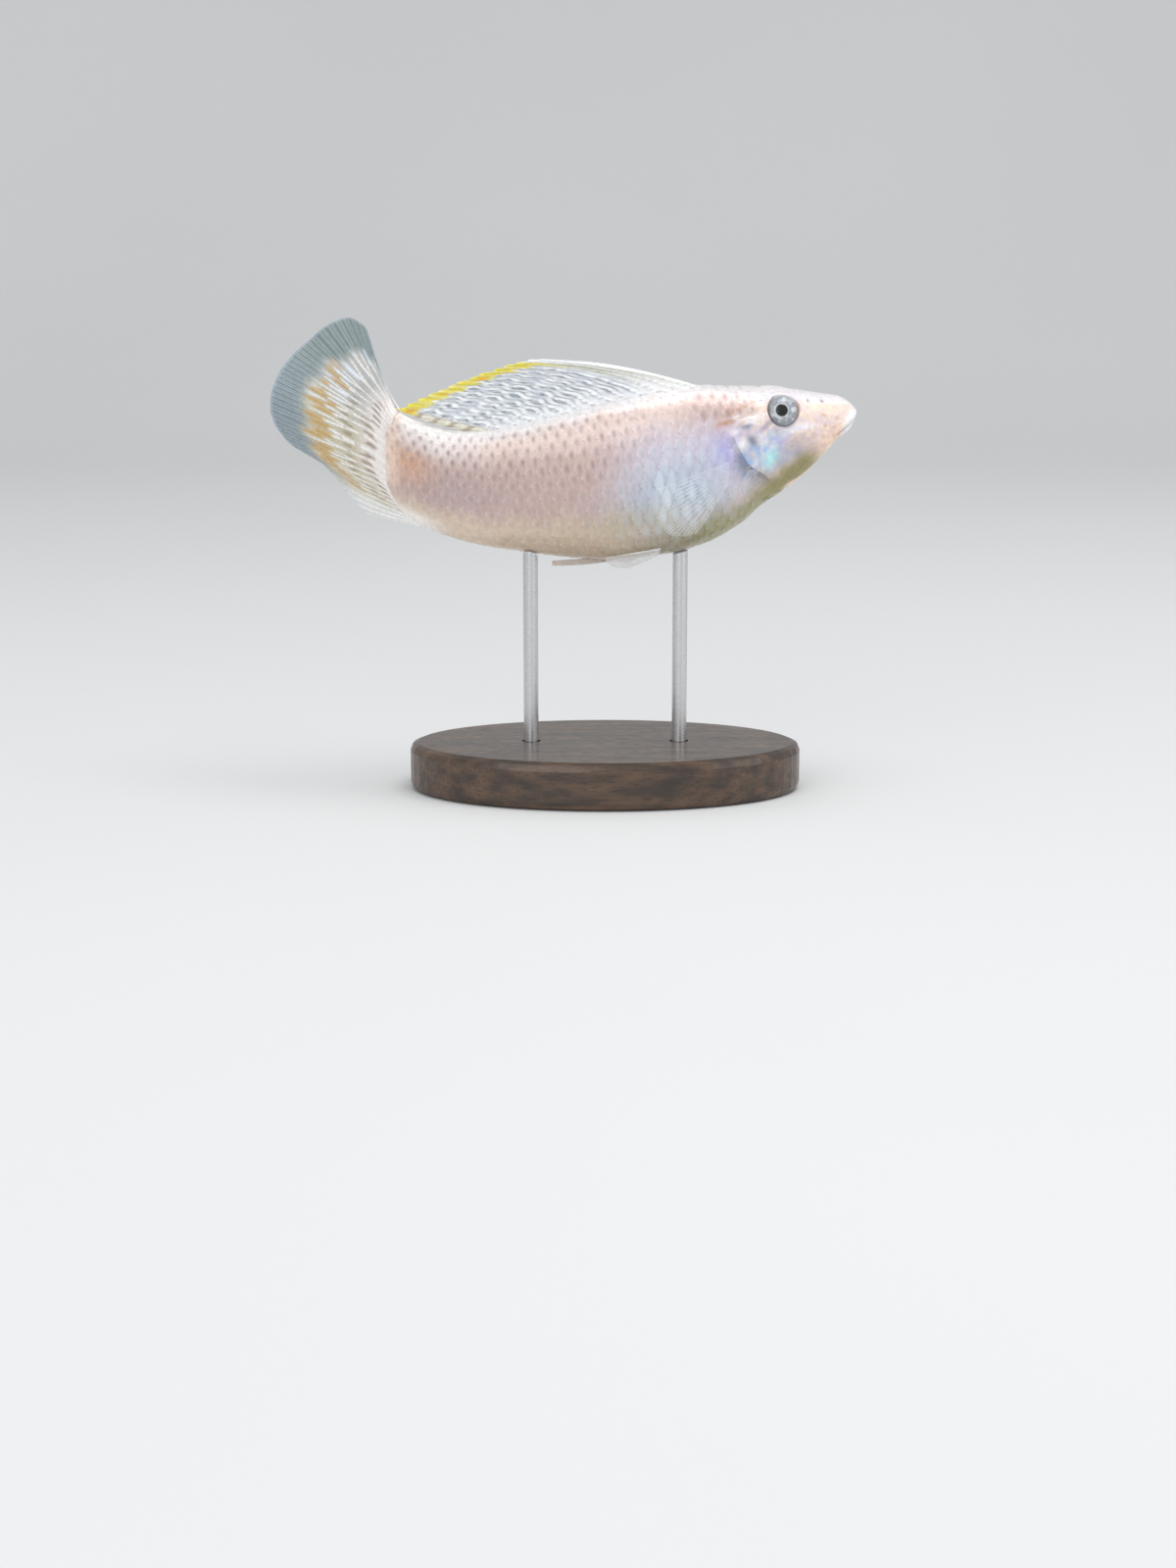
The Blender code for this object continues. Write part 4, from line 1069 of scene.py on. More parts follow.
def paired_sheet(shape, side):
    """A function for one paired fin, whose rays fan back from a short base and stand out from the skin."""
    point, outward, along_skin = landmark(shape["distance"], shape["turn"], side)
    down = np.cross(outward, along_skin) * side
    base_way = down * PAIR_BASE_DOWN + along_skin * PAIR_BASE_BACK

    def place(across, along):
        root = point + outward * PAIR_ROOT_OUT - along_skin * PAIR_ROOT_FORWARD
        root = root + (across - 0.5)[..., None] * shape["base"] * base_way
        fan = np.radians(smooth(across, PAIR_KNOTS, shape["fan"]))
        flat = along_skin * np.cos(fan)[..., None] - down * np.sin(fan)[..., None]
        length = smooth(across, PAIR_KNOTS, shape["lengths"]) * MM

        def direction(share):
            lean = math.radians(shape["stand_out"]) * (1.25 - 0.6 * share)
            return flat * math.cos(lean) + outward * math.sin(lean)

        return ray_paths(root, direction, length, along)

    return place


def anal_sheet(across, along):
    """The male's anal fin: a rod that follows the belly back from its base on the underside to a blunt tip.
    """
    distance = ANAL_START + across * ANAL_BASE
    under = np.full_like(distance, math.pi)
    root = skin_point(distance, under, np.full_like(distance, -ANAL_ROOT_IN))
    drop = ANAL_TIP_DROP - (across - 0.5) * ANAL_TIP_HEIGHT
    tip = skin_point(np.full_like(distance, ANAL_START + ANAL_LENGTH), under, drop)
    back = spine_directions(np.array(ANAL_START))[1]
    bow = (along * (1 - along) * (1 - across))[..., None] * back * ANAL_BOW
    return root * (1 - along[..., None]) + tip * along[..., None] - bow


def fin_slab(
    name,
    sheet,
    rays,
    grid,
    finish,
    node,
    settings,
    branch,
    again=2.0,
    pleat=0.0,
    rise=1.0,
    frill=0.0,
    flare=0.0,
):
    """A fin as a closed slab round a middle sheet, with its rays raised on both faces.

    Each ray is a bell-shaped ridge. Past `branch` it parts in two, which draw away from each other to a
    quarter of the way to the next ray, and past `again` each half parts once more. `pleat` folds the web
    between rays to one side, and `frill` waves the fin's edge. `flare` is how much thicker the fin is on
    each face at its root, where it meets the flesh. The grid that comes back holds each point's shares
    across and along the fin, its nearness to a ray, that ray's number, and how far off the ray it is in
    steps between rays.
    """
    columns, rows = grid
    across, along = np.meshgrid(np.linspace(0.0, 1.0, columns), np.linspace(0.0, 1.0, rows), indexing="ij")
    place = across * (rays - 1)
    number = np.round(place)
    off = place - number
    draw = np.random.default_rng(11 + rays)
    fork = branch + draw.uniform(-0.08, 0.08, rays)[number.astype(int)]
    spread = 0.25 * ease(fork, fork + 0.28, along)
    parted = ease(again, again + 0.16, along)
    width = (0.17 - 0.06 * along) * (1 - 0.42 * parted)
    split = 0.125 * parted
    twigs = [half_ray + twig for half_ray in (spread, -spread) for twig in (split, -split)]
    ridge = np.maximum.reduce([bump(off, twig, width) for twig in twigs])
    segments = 0.86 + 0.14 * np.cos(2 * math.pi * (along * 26.0 + number * 0.37))
    ripple = 0.5 + 0.5 * np.sin(across * 61.0 + np.sin(across * 23.0) * 2.0)
    edge = 1 - 0.012 * (1 - ridge) * (1 - 0.8 * parted) - frill * ripple
    middle = sheet(across, along * edge)
    normal = np.cross(np.gradient(middle, axis=0), np.gradient(middle, axis=1))
    normal /= np.maximum(np.linalg.norm(normal, axis=-1, keepdims=True), 1e-12)
    fold = pleat * np.cos(2 * math.pi * place) * ease(0.0, 0.12, along) * (1 - 0.55 * along)
    half = settings.web_thickness / 2 * (1.0 - 0.5 * along)
    half = half + rise * settings.ray_rise * ridge * segments * (1.0 - 0.72 * along)
    half = half + flare * ease(0.22, 0.03, along) * ease(0.0, 0.16, across) * ease(1.0, 0.9, across)
    sides = np.stack([middle + normal * (fold + way)[..., None] for way in (half, -half)])
    piece = add_piece(name, sides, slab_faces(columns, rows).tolist(), finish, (node,))
    return FinGrid(piece, across, along, ridge * segments, number, off)


def paint_fin(piece, colours, cover):
    """Stores a fin's colours, and how much it hides what lies behind it, on both faces."""
    paint(piece, "pigment", np.concatenate([colours.reshape(-1, 3)] * 2))
    paint(piece, "cover", np.concatenate([np.clip(cover, 0.0, 1.0).reshape(-1)] * 2))


def dash_along(along, start, full, fading, gone):
    """A dash that begins at `start`, is whole `full` later, and fades out between `fading` and `gone`."""
    return ease(start, start + full, along) * ease(start + gone, start + fading, along)


# Colours of the fins

WHITE = linear((1.0, 1.0, 1.0))
ANAL_GREY = linear((0.80, 0.75, 0.71))

SAIL_RAYS = 15
SAIL_GRID = (281, 150)
SAIL_SHADOW = linear((0.40, 0.46, 0.53))
SAIL_DOT = linear((0.62, 0.52, 0.56))
SAIL_LAST = linear((0.95, 0.92, 0.82))
# Pale yellow of the painted highlights along the sail's margin.
SAIL_MARGIN_HIGHLIGHT = linear((0.97, 0.93, 0.62))
# Place across the sail and middle along it of each olive line, and place and width of each orange spot.
OLIVE_LINES = ((0.030, 0.35), (0.055, 0.45), (0.082, 0.5), (0.108, 0.4), (0.165, 0.42))
EMBERS = ((0.46, 0.03), (0.94, 0.04), (0.70, 0.015))

TAIL_RAYS = 25
TAIL_GRID = (481, 98)
TAIL_CREAM = linear((1.0, 0.965, 0.95))
TAIL_GREYS = (linear((0.78, 0.78, 0.77)), linear((0.83, 0.80, 0.71)))
TAIL_ICE = linear((0.92, 0.96, 1.0))
# Painted light: green from the surroundings shining through the top of the outer zone.
TAIL_TOP_GREEN_SEEN_THROUGH = linear((0.60, 0.675, 0.64))
TAIL_STRIPE = linear((0.28, 0.36, 0.45))
TAIL_BETWEEN = linear((0.70, 0.77, 0.80))
TAIL_LOBE_LINE = linear((0.60, 0.66, 0.74))
TAIL_EDGE = linear((0.74, 0.80, 0.87))


class MOLLY_OT_fins(bpy.types.Operator):
    """Build the folded sail, the tail fan, the paired fins and the anal fin with branching rays"""

    bl_idname = "molly.fins"
    bl_label = "Build Fins"

    def execute(self, context):
        settings = context.scene.molly_fins
        finish = self.finish()
        self.sail(settings, finish)
        self.tail(settings, finish)
        for kind, shape in (("pectoral", PECTORAL), ("pelvic", PELVIC)):
            for word, side in (("right", 1), ("left", -1)):
                self.paired(settings, finish, f"{kind}_fin_{word}", shape, side)
        self.anal(settings, finish)
        return {"FINISHED"}

    def paired(self, settings, finish, node, shape, side):
        """Clear webs with faint whitish rays."""
        fin = fin_slab(
            f"{node}_web",
            paired_sheet(shape, side),
            shape["rays"],
            shape["grid"],
            finish,
            node,
            settings,
            branch=0.5,
            rise=0.5,
        )
        ray = linear(settings.ray)
        pale = lay_over(linear(settings.web), ray, 0.55)
        clear, drawn = shape["cover"]
        cover = clear + drawn * (1 - 0.5 * fin.along) * fin.ridge
        paint_fin(fin.piece, lay_over(pale, ray, fin.ridge), cover)

    def anal(self, settings, finish):
        """A greyish rod whose rays are a little paler."""
        fin = fin_slab(
            "anal_fin_rod",
            anal_sheet,
            ANAL_RAYS,
            ANAL_GRID,
            finish,
            "anal_fin",
            settings,
            branch=2.0,
            rise=1.2,
        )
        colours = lay_over(ANAL_GREY, linear(settings.ray), 0.55 * fin.ridge)
        paint_fin(fin.piece, colours, np.full(fin.ridge.shape, 0.96))

    def sail(self, settings, finish):
        """White dashes on blue-grey webs, olive streaks below the leading rays, and a yellow, wavy edge."""
        fin = fin_slab(
            "sail",
            dorsal_sheet,
            SAIL_RAYS,
            SAIL_GRID,
            finish,
            "dorsal_fin",
            settings,
            branch=0.6,
            pleat=0.2 * MM,
            frill=0.03,
            flare=0.15 * MM,
        )
        across, along, number, off = fin.across, fin.along, fin.number, fin.off
        drift = np.random.default_rng(3).uniform(0.0, 6.28, SAIL_RAYS)[number.astype(int)]
        bent = off + 0.12 * np.sin(along * 36.0 + 2.3 * drift) * ease(0.12, 0.4, across)
        dash = np.zeros(off.shape)
        for place, turn in ((0.25, 0.0), (-0.25, 2.1)):
            waver = 1.6 * np.sin(along * 17.0 + 2.0 * drift + turn)
            run = np.sin(along * (36.0 + 2.5 * drift) + drift * 1.7 + turn + waver)
            dash = np.maximum(dash, bump(bent, place, 0.17) * ease(-0.7, 0.1, run))
        gap = np.maximum(bump(np.abs(bent), 0.5, 0.10), 0.75 * bump(bent, 0.0, 0.08))
        broken = np.sin(along * 37.0 + drift * 1.9 + 2.0 * np.sin(along * 19.0))
        gap = gap * (0.5 + 0.5 * ease(-0.4, 0.6, broken)) * ease(0.04, 0.26, across)
        dots = bump(off, 0.5, 0.2) * ease(0.2, 0.8, np.sin(along * 130.0 + drift)) * ease(0.42, 0.15, along)
        olive = bump(across, 0.135, 0.022) * bump(along, 0.62, 0.24)
        for place, middle in OLIVE_LINES:
            olive = np.maximum(olive, 0.95 * bump(across, place, 0.0075) * bump(along, middle, 0.28))
        last = ease(0.90, 0.95, across)
        wave = 0.02 * np.sin(across * 61.0) + 0.015 * np.sin(across * 140.0)
        band = ease(0.81, 0.88, along + wave) * ease(0.10, 0.17, across)
        # Painted highlights along the yellow margin.
        margin_highlight = ease(0.3, 0.9, 0.5 + 0.5 * np.sin(across * 75.0 + along * 9.0))
        trail = bump(across, 0.17, 0.02) * ease(0.55, 0.85, along)
        margin = linear(settings.margin)
        layers = [
            (WHITE, dash),
            (SAIL_SHADOW, 0.85 * gap),
            (WHITE, 0.85 * ease(0.26, 0.10, across) + 0.7 * ease(0.2, 0.02, along)),
            (SAIL_DOT, 0.6 * dots),
            (linear(settings.olive), 0.8 * olive),
            (SAIL_LAST, 0.8 * last),
            (linear(settings.umber), 0.6 * last * ease(0.2, 0.8, np.sin(along * 33.0 + number))),
            (lay_over(margin, SAIL_MARGIN_HIGHLIGHT, 0.6 * margin_highlight), 0.97 * band),
            (margin, 0.85 * trail),
        ]
        for place, width in EMBERS:
            ember = bump(across, place, width) * bump(along, 0.91, 0.035)
            layers.append((linear(settings.ember), 0.9 * ember))
        cover = 0.80 + 0.2 * dash + 0.2 * band + 0.1 * last
        cover = cover + 0.25 * ease(0.3, 0.0, along) + 0.2 * ease(0.3, 0.1, across)
        paint_fin(fin.piece, layered(linear(settings.web), layers), cover)

    def tail(self, settings, finish):
        """Cream with brown dashes at the base, amber streaks past the middle, and a blue-grey edge zone."""
        fin = fin_slab(
            "tail_fan",
            tail_sheet,
            TAIL_RAYS,
            TAIL_GRID,
            finish,
            "tail_fin",
            settings,
            branch=0.3,
            again=0.6,
            pleat=0.05 * MM,
            frill=0.003,
            flare=0.85 * MM,
        )
        across, along, ridge, number, off = fin.across, fin.along, fin.ridge, fin.number, fin.off
        draw = np.random.default_rng(5).uniform(0.0, 1.0, (4, TAIL_RAYS))[:, number.astype(int)]
        umber, amber = linear(settings.umber), linear(settings.amber)
        middle = ease(0.14, 0.26, across) * ease(0.92, 0.78, across)
        gap = bump(np.abs(off), 0.5, 0.24)
        inner = gap * dash_along(along, 0.08 + 0.09 * draw[0], 0.03, 0.09, 0.13)
        inner = inner * ease(0.1, 0.25, across) * ease(1.0, 0.85, across)
        second = gap * dash_along(along, 0.30 + 0.07 * draw[3], 0.03, 0.06, 0.10) * (draw[1] > 0.3)
        fleck = ease(0.25, 0.9, np.sin(along * 44.0 + 6.28 * draw[2])) * bump(along, 0.33, 0.14)
        upper_streak = dash_along(along, 0.43 + 0.14 * draw[1], 0.05, 0.14, 0.24) * (draw[3] > 0.2)
        lower_streak = dash_along(along, 0.47 + 0.12 * draw[2], 0.05, 0.14, 0.24) * (draw[0] > 0.3)
        bent = along + 0.16 * ease(0.26, 0.05, across) - 0.12 * ease(0.72, 0.95, across)
        rim = ease(0.62 + 0.12 * draw[2], 0.80 + 0.07 * draw[2], bent)
        rim = rim * (1 - 0.8 * ease(0.66, 0.82, across))
        stripe = np.maximum(bump(off, 0.0, 0.06), bump(np.abs(off), 0.5, 0.07))
        stripe = np.maximum(bump(np.abs(off), 0.25, 0.10), 0.7 * stripe)
        flash = bump(off, 0.25, 0.17) * dash_along(along, 0.42 + 0.14 * draw[0], 0.03, 0.15, 0.22)
        flash = flash * (draw[3] < 0.8) * ease(0.5, 0.3, across) * ease(0.02, 0.08, across)
        # The lower lobe painted white: partly its overlapping rays, partly a painted sheen where its slant
        # catches the light.
        lobe_overlap_and_sheen = ease(0.80, 0.92, across)
        layers = [
            (lay_over(*TAIL_GREYS, ease(0.25, 0.5, across)), ease(0.12, 0.36, along)),
            (linear(settings.ray), 0.85 * ease(0.25, 0.8, ridge) * ease(0.8, 0.5, along)),
            (umber, 0.75 * inner),
            (umber, 0.55 * second * middle),
            (umber, 0.5 * bump(off, 0.0, 0.10) * fleck * middle),
            (amber, 0.95 * bump(off, 0.27, 0.20) * upper_streak * middle),
            (amber, 0.95 * bump(off, -0.27, 0.20) * lower_streak * middle),
            # The outer zone turns green near the top: painted light from the surroundings seen through it.
            (lay_over(linear(settings.outer), TAIL_TOP_GREEN_SEEN_THROUGH, ease(0.5, 0.2, across)), 0.9 * rim),
            (TAIL_STRIPE, 0.66 * rim * stripe),
            (TAIL_BETWEEN, 0.35 * rim * (1 - stripe)),
            (TAIL_ICE, 0.9 * flash),
            (WHITE, 0.9 * lobe_overlap_and_sheen * (0.6 + 0.4 * ease(0.2, 0.7, ridge))),
            (TAIL_LOBE_LINE, 0.6 * lobe_overlap_and_sheen * bump(np.abs(off), 0.5, 0.1) * ease(0.1, 0.4, along)),
            (TAIL_EDGE, 0.5 * ease(0.975, 0.99, along) + 0.4 * ease(0.03, 0.0, across)),
        ]
        paint_fin(fin.piece, layered(TAIL_CREAM, layers), 0.90 + 0.1 * ridge - 0.28 * rim + 0.1 * lobe_overlap_and_sheen)

    def finish(self):
        """Thin web and rays: the painted colours, see-through by the painted cover, under a wet coat."""
        shader = Shader(
            "fin web",
            IOR=1.4,
            Coat_Weight=0.35,
            Coat_Roughness=0.15,
            Subsurface_Weight=0.1,
            Subsurface_Radius=(1.0, 1.0, 1.0),
            Subsurface_Scale=0.5 * MM,
        )
        mottle = shader.span(shader.noise(1800.0, 4.0), 0.35, 0.7, 0.9, 1.06)
        shader.link(shader.tinted(shader.attribute("pigment"), mottle), "Base Color")
        shader.link(shader.attribute("cover", "Fac"), "Alpha")
        shader.rough(shader.noise(1200.0), 0.3, 0.45)
        shader.relief(shader.noise(3000.0, 3.0), 0.15, 0.05 * MM)
        return shader.material


# Eyes

EYE_SIDES = 96
BALL_RINGS = 90
DOME_RINGS = 40
BALL_SWING = (0.04, math.pi - 0.06)
DOME_SWING = (0.05, 1.32)
DOME_SHELL = 0.05 * MM
DOME_GAP = 0.10 * MM
IRIS_INSET = 0.03 * MM
IRIS_FACE = 0.17 * MM
IRIS_FALL = 0.04 * MM
PUPIL_BULGE = 0.16 * MM
PUPIL_RIM = 0.05 * MM
# Shares of the eye's radius by which the pupil sits back and up from the middle, and about how far in all.
PUPIL_BACK = 0.19
PUPIL_UP = 0.03
PUPIL_OFFSET = 0.18
IRIS_DARK = (0.44, 0.46, 0.51)
IRIS_SPECK = (0.95, 0.96, 0.97)
IRIS_SHINE = (0.93, 0.93, 0.90)
PUPIL_BLACK = (0.004, 0.004, 0.005)


class MOLLY_OT_eyes(bpy.types.Operator):
    """Build each eye as a silver iris round a black pupil under a clear, wet dome"""

    bl_idname = "molly.eyes"
    bl_label = "Build Eyes"

    def execute(self, context):
        settings = context.scene.molly_eyes
        ball, dome = self.ball_finish(settings), self.dome_finish()
        for word, side in (("right", 1), ("left", -1)):
            place = landmark(EYE_DISTANCE, EYE_TURN, side)
            self.ball(settings, word, side, place, ball)
            self.dome(settings, word, place, dome)
        return {"FINISHED"}

    def lathe(self, name, place, radius, height, finish, node=()):
        """A closed turned piece: a profile of radius and height is carried round the eye's outward axis.

        Its rings run from the front of the axis to its back, with a fan of faces at each end.
        """
        centre, outward, along = place
        angle = np.arange(EYE_SIDES) * 2 * math.pi / EYE_SIDES
        spoke = np.cos(angle)[:, None] * along + np.sin(angle)[:, None] * np.cross(outward, along)
        points = centre + radius[:, None, None] * spoke[None] + height[:, None, None] * outward
        index, following, walls = ring_faces(len(radius), EYE_SIDES)
        fans = fan_faces(index.size, index[0], following[0])
        fans += fan_faces(index.size + 1, following[-1], index[-1])
        centres = np.stack([points[0].mean(axis=0), points[-1].mean(axis=0)])
        flat = np.concatenate([points.reshape(-1, 3), centres])
        return add_piece(name, flat, walls + fans, finish, node)

    def ball(self, settings, word, side, place, finish):
        """The ball's front holds a bulging pupil in a gently domed iris. Its back is half an ellipsoid."""
        swing = np.linspace(*BALL_SWING, BALL_RINGS)
        height = np.cos(swing) * settings.depth - settings.sink
        radius = np.sin(swing) * (settings.radius - IRIS_INSET)
        from_pupil = radius / settings.pupil
        bulge = PUPIL_BULGE * np.sqrt(np.clip(1 - from_pupil**2, 0.0, 1.0))
        rim = PUPIL_RIM * bump(from_pupil, 1.16, 0.1)
        face = IRIS_FACE + rim + bulge - IRIS_FALL * (radius / settings.radius) ** 2
        behind = swing > math.pi / 2
        height = np.where(behind, height, np.minimum(height - DOME_GAP, face))
        piece = self.lathe(f"eyeball_{word}", place, radius, height, finish, (f"eye_{word}",))
        angle = np.arange(EYE_SIDES) * 2 * math.pi / EYE_SIDES
        share = (radius / settings.radius)[:, None]
        gaze = np.hypot(share * np.cos(angle) - PUPIL_BACK, share * np.sin(angle) - side * PUPIL_UP)
        spoke = np.broadcast_to(np.abs(angle / (2 * math.pi) - 0.5) * 2, gaze.shape)
        back = behind.astype(float)[:, None]
        # Each value has two more at its end, for the points at the front and the back of the axis.
        for name, values, ends in (
            ("reach", np.broadcast_to(share + back, gaze.shape), [0.0, 2.0]),
            ("gaze", gaze + back, [PUPIL_OFFSET, 2.0]),
            ("spoke", spoke, [0.0, 0.0]),
        ):
            paint(piece, name, np.concatenate([values.reshape(-1), ends]))

    def dome(self, settings, word, place, finish):
        """A thin shell that follows the eye's own ellipsoid in front."""
        swing = np.linspace(*DOME_SWING, DOME_RINGS)
        outer = np.stack([np.sin(swing) * settings.radius, np.cos(swing) * settings.depth - settings.sink])
        inner = outer - DOME_SHELL * np.stack([np.sin(swing), np.cos(swing)])
        radius, height = np.concatenate([outer, inner[:, ::-1]], axis=1)
        self.lathe(f"cornea_{word}", place, radius, height, finish)

    def ball_finish(self, settings):
        """Black pupil, silver iris with faint spokes and a pale inner rim, and a dark outer ring."""
        shader = Shader("silver iris", Metallic=0.2, IOR=1.4, Coat_Weight=0.0)
        reach, gaze, spoke = (shader.attribute(name, "Fac") for name in ("reach", "gaze", "spoke"))
        edge = settings.pupil / settings.radius
        round_axis = shader.node("ShaderNodeCombineXYZ", {"X": spoke, "Y": 0.3}).outputs[0]
        fibres = shader.noise(40.0, 3.0, round_axis)
        pupil = shader.span(gaze, edge + 0.03, edge - 0.03, 0.0, 1.0)
        shade = linear(settings.iris)
        for share, over in (
            (shader.span(fibres, 0.35, 0.62, 0.0, 0.85), IRIS_DARK),
            (shader.span(shader.noise(1000.0, 4.0), 0.48, 0.62, 0.0, 0.85), IRIS_SPECK),
            (shader.span(gaze, edge + 0.14, edge + 0.03, 0.0, 0.5), IRIS_SHINE),
            (shader.span(reach, 0.89, 0.98, 0.0, 0.9), settings.ring),
        ):
            shade = shader.mix(share, shade, linear(over))
        shader.link(shader.mix(pupil, shade, PUPIL_BLACK), "Base Color")
        shader.link(shader.span(pupil, 0.0, 1.0, 0.35, 0.25), "Roughness")
        shader.relief(fibres, 0.2, 0.03 * MM)
        return shader.material

    def dome_finish(self):
        """Clear wet tissue that bends light a little."""
        shader = Shader("clear cornea", Roughness=0.0, IOR=1.25, Transmission_Weight=1.0, Coat_Weight=0.0)
        shader.link(shader.mix(shader.noise(900.0), (1.0, 1.0, 1.0), (0.97, 0.98, 1.0)), "Base Color")
        return shader.material


# Stand

WOOD_DARK = (0.030, 0.016, 0.009)
WOOD_LIGHT = (0.105, 0.055, 0.028)
WOOD_PORE = (0.012, 0.007, 0.004)
STEEL_DARK = (0.52, 0.52, 0.53)
STEEL_LIGHT = (0.70, 0.70, 0.71)


class MOLLY_OT_stand(bpy.types.Operator):
    """Give the stand's base its varnished wood and the rods their brushed steel"""

    bl_idname = "molly.stand"
    bl_label = "Finish Stand"

    def execute(self, context):
        wood, steel = self.wood(), self.steel()
        for node, finish in (("stand_base", wood), ("stand_rod_front", steel), ("stand_rod_rear", steel)):
            data = bpy.data.objects[node].data
            data.materials.clear()
            data.materials.append(finish)
        return {"FINISHED"}

    def wood(self):
        """Dark varnished wood with its grain along the base."""
        shader = Shader("varnished wood", IOR=1.5, Coat_Weight=0.4, Coat_Roughness=0.18)
        lengthways = shader.stretched((0.16, 1.0, 1.0))
        ring = shader.noise(620.0, 6.0, lengthways)
        fine = shader.noise(3600.0, 3.0, lengthways)
        grain = shader.mix(shader.span(ring, 0.35, 0.65, 0.0, 1.0), WOOD_DARK, WOOD_LIGHT)
        shader.link(shader.mix(shader.span(fine, 0.52, 0.68, 0.0, 0.6), grain, WOOD_PORE), "Base Color")
        shader.rough(fine, 0.32, 0.5)
        shader.relief(fine, 0.15, 0.05 * MM)
        return shader.material

    def steel(self):
        """Fine brushing round the rods."""
        shader = Shader("brushed steel", Metallic=1.0)
        brush = shader.noise(1400.0, 4.0, shader.stretched((1.0, 1.0, 14.0)))
        shader.link(shader.mix(brush, STEEL_DARK, STEEL_LIGHT), "Base Color")
        shader.rough(brush, 0.22, 0.38)
        shader.relief(brush, 0.1, 0.02 * MM)
        return shader.material


# Stage

LIGHT_TARGET = (0.0, 0.0, 0.05)
# Name, place, width, the setting that gives its power, and its share of that.
LIGHTS = (
    ("key", (0.12, -0.10, 0.62), 0.5, "key_power", 1.0),
    ("fill", (-0.30, -0.60, 0.30), 0.5, "fill_power", 1.0),
    ("side", (0.60, -0.25, 0.20), 0.35, "fill_power", 0.5),
)
SKY_TINT = (0.95, 0.98, 1.0, 1.0)
FLOOR_HALF = 1.6
FLOOR_TURN = 0.55
FLOOR_CURVE = 0.45
WALL_TOP = 2.2
FISH_MIDDLE = (0.0, -2.4 * MM, 51.3 * MM)
CAMERA_LEFT = 2.55 * MM
CAMERA_DROP = 49.3 * MM


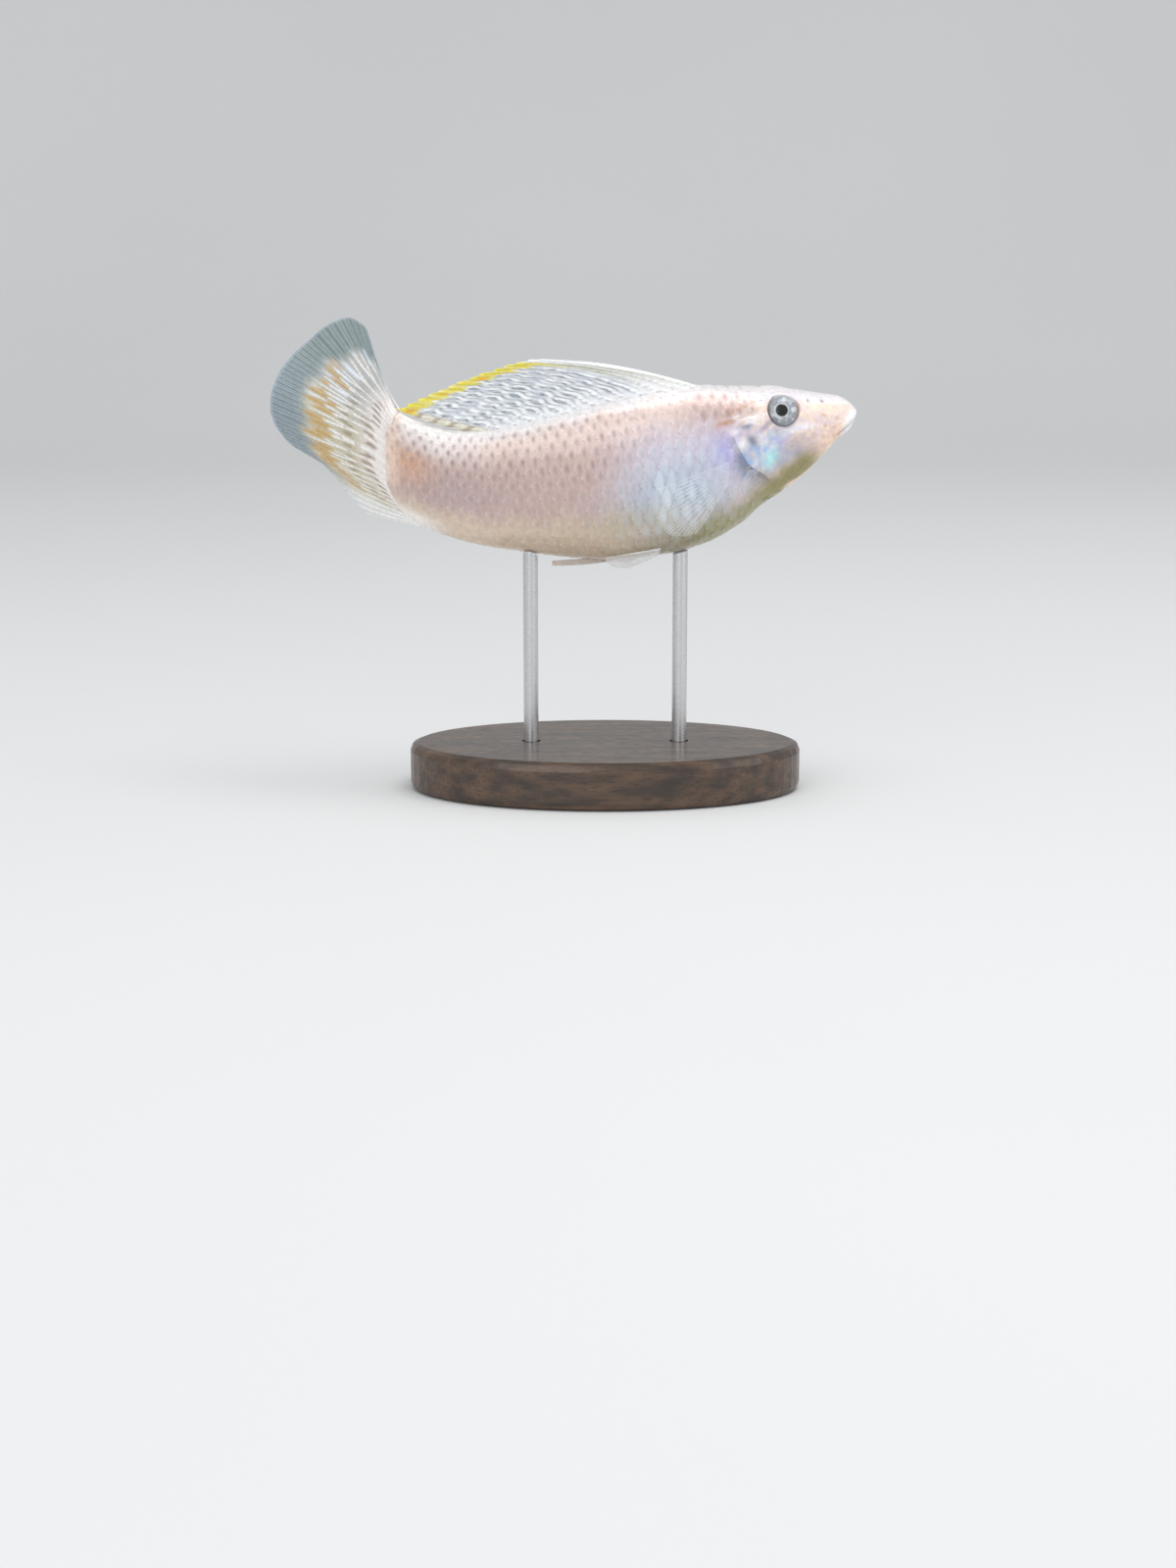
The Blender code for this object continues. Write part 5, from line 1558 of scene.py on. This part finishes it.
class MOLLY_OT_stage(bpy.types.Operator):
    """Lay a pale floor that curves up behind, set soft lights and place the camera"""

    bl_idname = "molly.stage"
    bl_label = "Set Stage"

    def execute(self, context):
        settings = context.scene.molly_stage
        self.backdrop(settings)
        for name, place, size, power, share in LIGHTS:
            self.light(name, place, size, getattr(settings, power) * share)
        world = bpy.data.worlds.new("studio")
        world.use_nodes = True
        sky = world.node_tree.nodes["Background"]
        sky.inputs["Color"].default_value = SKY_TINT
        sky.inputs["Strength"].default_value = settings.sky
        context.scene.world = world
        context.scene.view_settings.view_transform = "Standard"
        self.camera(context, settings)
        return {"FINISHED"}

    def backdrop(self, settings):
        """A floor that turns up behind the stand along a quarter circle."""
        across = np.linspace(-FLOOR_HALF, FLOOR_HALF, 9)
        bend = np.radians(np.linspace(0.0, 90.0, 17))
        flat = np.array([-FLOOR_HALF, -0.4, 0.0, 0.4])
        wall = FLOOR_TURN + FLOOR_CURVE
        depth = np.concatenate([flat, FLOOR_TURN + FLOOR_CURVE * np.sin(bend), [wall]])
        height = np.concatenate([np.zeros(len(flat)), FLOOR_CURVE * (1 - np.cos(bend)), [WALL_TOP]])
        points = np.stack(np.broadcast_arrays(across[:, None], depth[None, :], height[None, :]), axis=-1)
        mesh = bpy.data.meshes.new("floor")
        mesh.from_pydata(points.reshape(-1, 3).tolist(), [], grid_faces(len(across), len(depth)).tolist())
        mesh.shade_smooth()
        floor = bpy.data.objects.new("floor", mesh)
        bpy.context.scene.collection.objects.link(floor)
        shader = Shader("pale backdrop", Roughness=0.85)
        shade = shader.span(shader.noise(3.0), 0.3, 0.7, 0.98, 1.02)
        shader.link(shader.tinted(linear(settings.floor), shade), "Base Color")
        mesh.materials.append(shader.material)

    def light(self, name, place, size, power):
        """A square light that faces the model."""
        data = bpy.data.lights.new(name, "AREA")
        data.size = size
        data.energy = power
        lamp = bpy.data.objects.new(name, data)
        lamp.location = place
        lamp.rotation_euler = (Vector(LIGHT_TARGET) - Vector(place)).to_track_quat("-Z", "Y").to_euler()
        bpy.context.scene.collection.objects.link(lamp)

    def camera(self, context, settings):
        """Looks along +Y and down, with the fish above and left of the picture's middle as in the photo."""
        tilt = settings.camera_tilt
        ahead = np.array([0.0, math.cos(tilt), -math.sin(tilt)])
        above = np.array([0.0, math.sin(tilt), math.cos(tilt)])
        place = np.array(FISH_MIDDLE) - settings.camera_distance * ahead - CAMERA_DROP * above
        data = bpy.data.cameras.new("camera")
        data.lens = settings.focal_length
        data.sensor_width = 36.0
        data.clip_start = 0.01
        camera = bpy.data.objects.new("camera", data)
        camera.location = place - np.array([CAMERA_LEFT, 0.0, 0.0])
        camera.rotation_euler = (math.pi / 2 - tilt, 0.0, 0.0)
        context.scene.collection.objects.link(camera)
        context.scene.camera = camera


# Panel and steps


class MOLLY_PT_panel(bpy.types.Panel):
    """Lists the steps that dress the molly"""

    bl_idname = "MOLLY_PT_panel"
    bl_label = "Molly"
    bl_space_type = "VIEW_3D"
    bl_region_type = "UI"
    bl_category = "Molly"

    def draw(self, context):
        for step in STEPS:
            self.layout.operator(step.bl_idname)
        for name in SETTINGS:
            box = self.layout.box()
            for field in getattr(context.scene, name).__annotations__:
                box.prop(getattr(context.scene, name), field)


SETTINGS = {
    "molly_skin": MollySkinSettings,
    "molly_scales": MollyScaleSettings,
    "molly_fins": MollyFinSettings,
    "molly_eyes": MollyEyeSettings,
    "molly_stage": MollyStageSettings,
}
STEPS = (MOLLY_OT_skin, MOLLY_OT_scales, MOLLY_OT_fins, MOLLY_OT_eyes, MOLLY_OT_stand, MOLLY_OT_stage)


def register():
    for kind in (*SETTINGS.values(), *STEPS, MOLLY_PT_panel):
        bpy.utils.register_class(kind)
    for name, kind in SETTINGS.items():
        setattr(bpy.types.Scene, name, PointerProperty(type=kind))


def unregister():
    for name in SETTINGS:
        delattr(bpy.types.Scene, name)
    for kind in (MOLLY_PT_panel, *reversed(STEPS), *reversed(list(SETTINGS.values()))):
        bpy.utils.unregister_class(kind)


def main():
    register()
    bpy.ops.molly.skin()
    bpy.ops.molly.scales()
    bpy.ops.molly.fins()
    bpy.ops.molly.eyes()
    bpy.ops.molly.stand()
    bpy.ops.molly.stage()


if __name__ == "__main__":
    main()
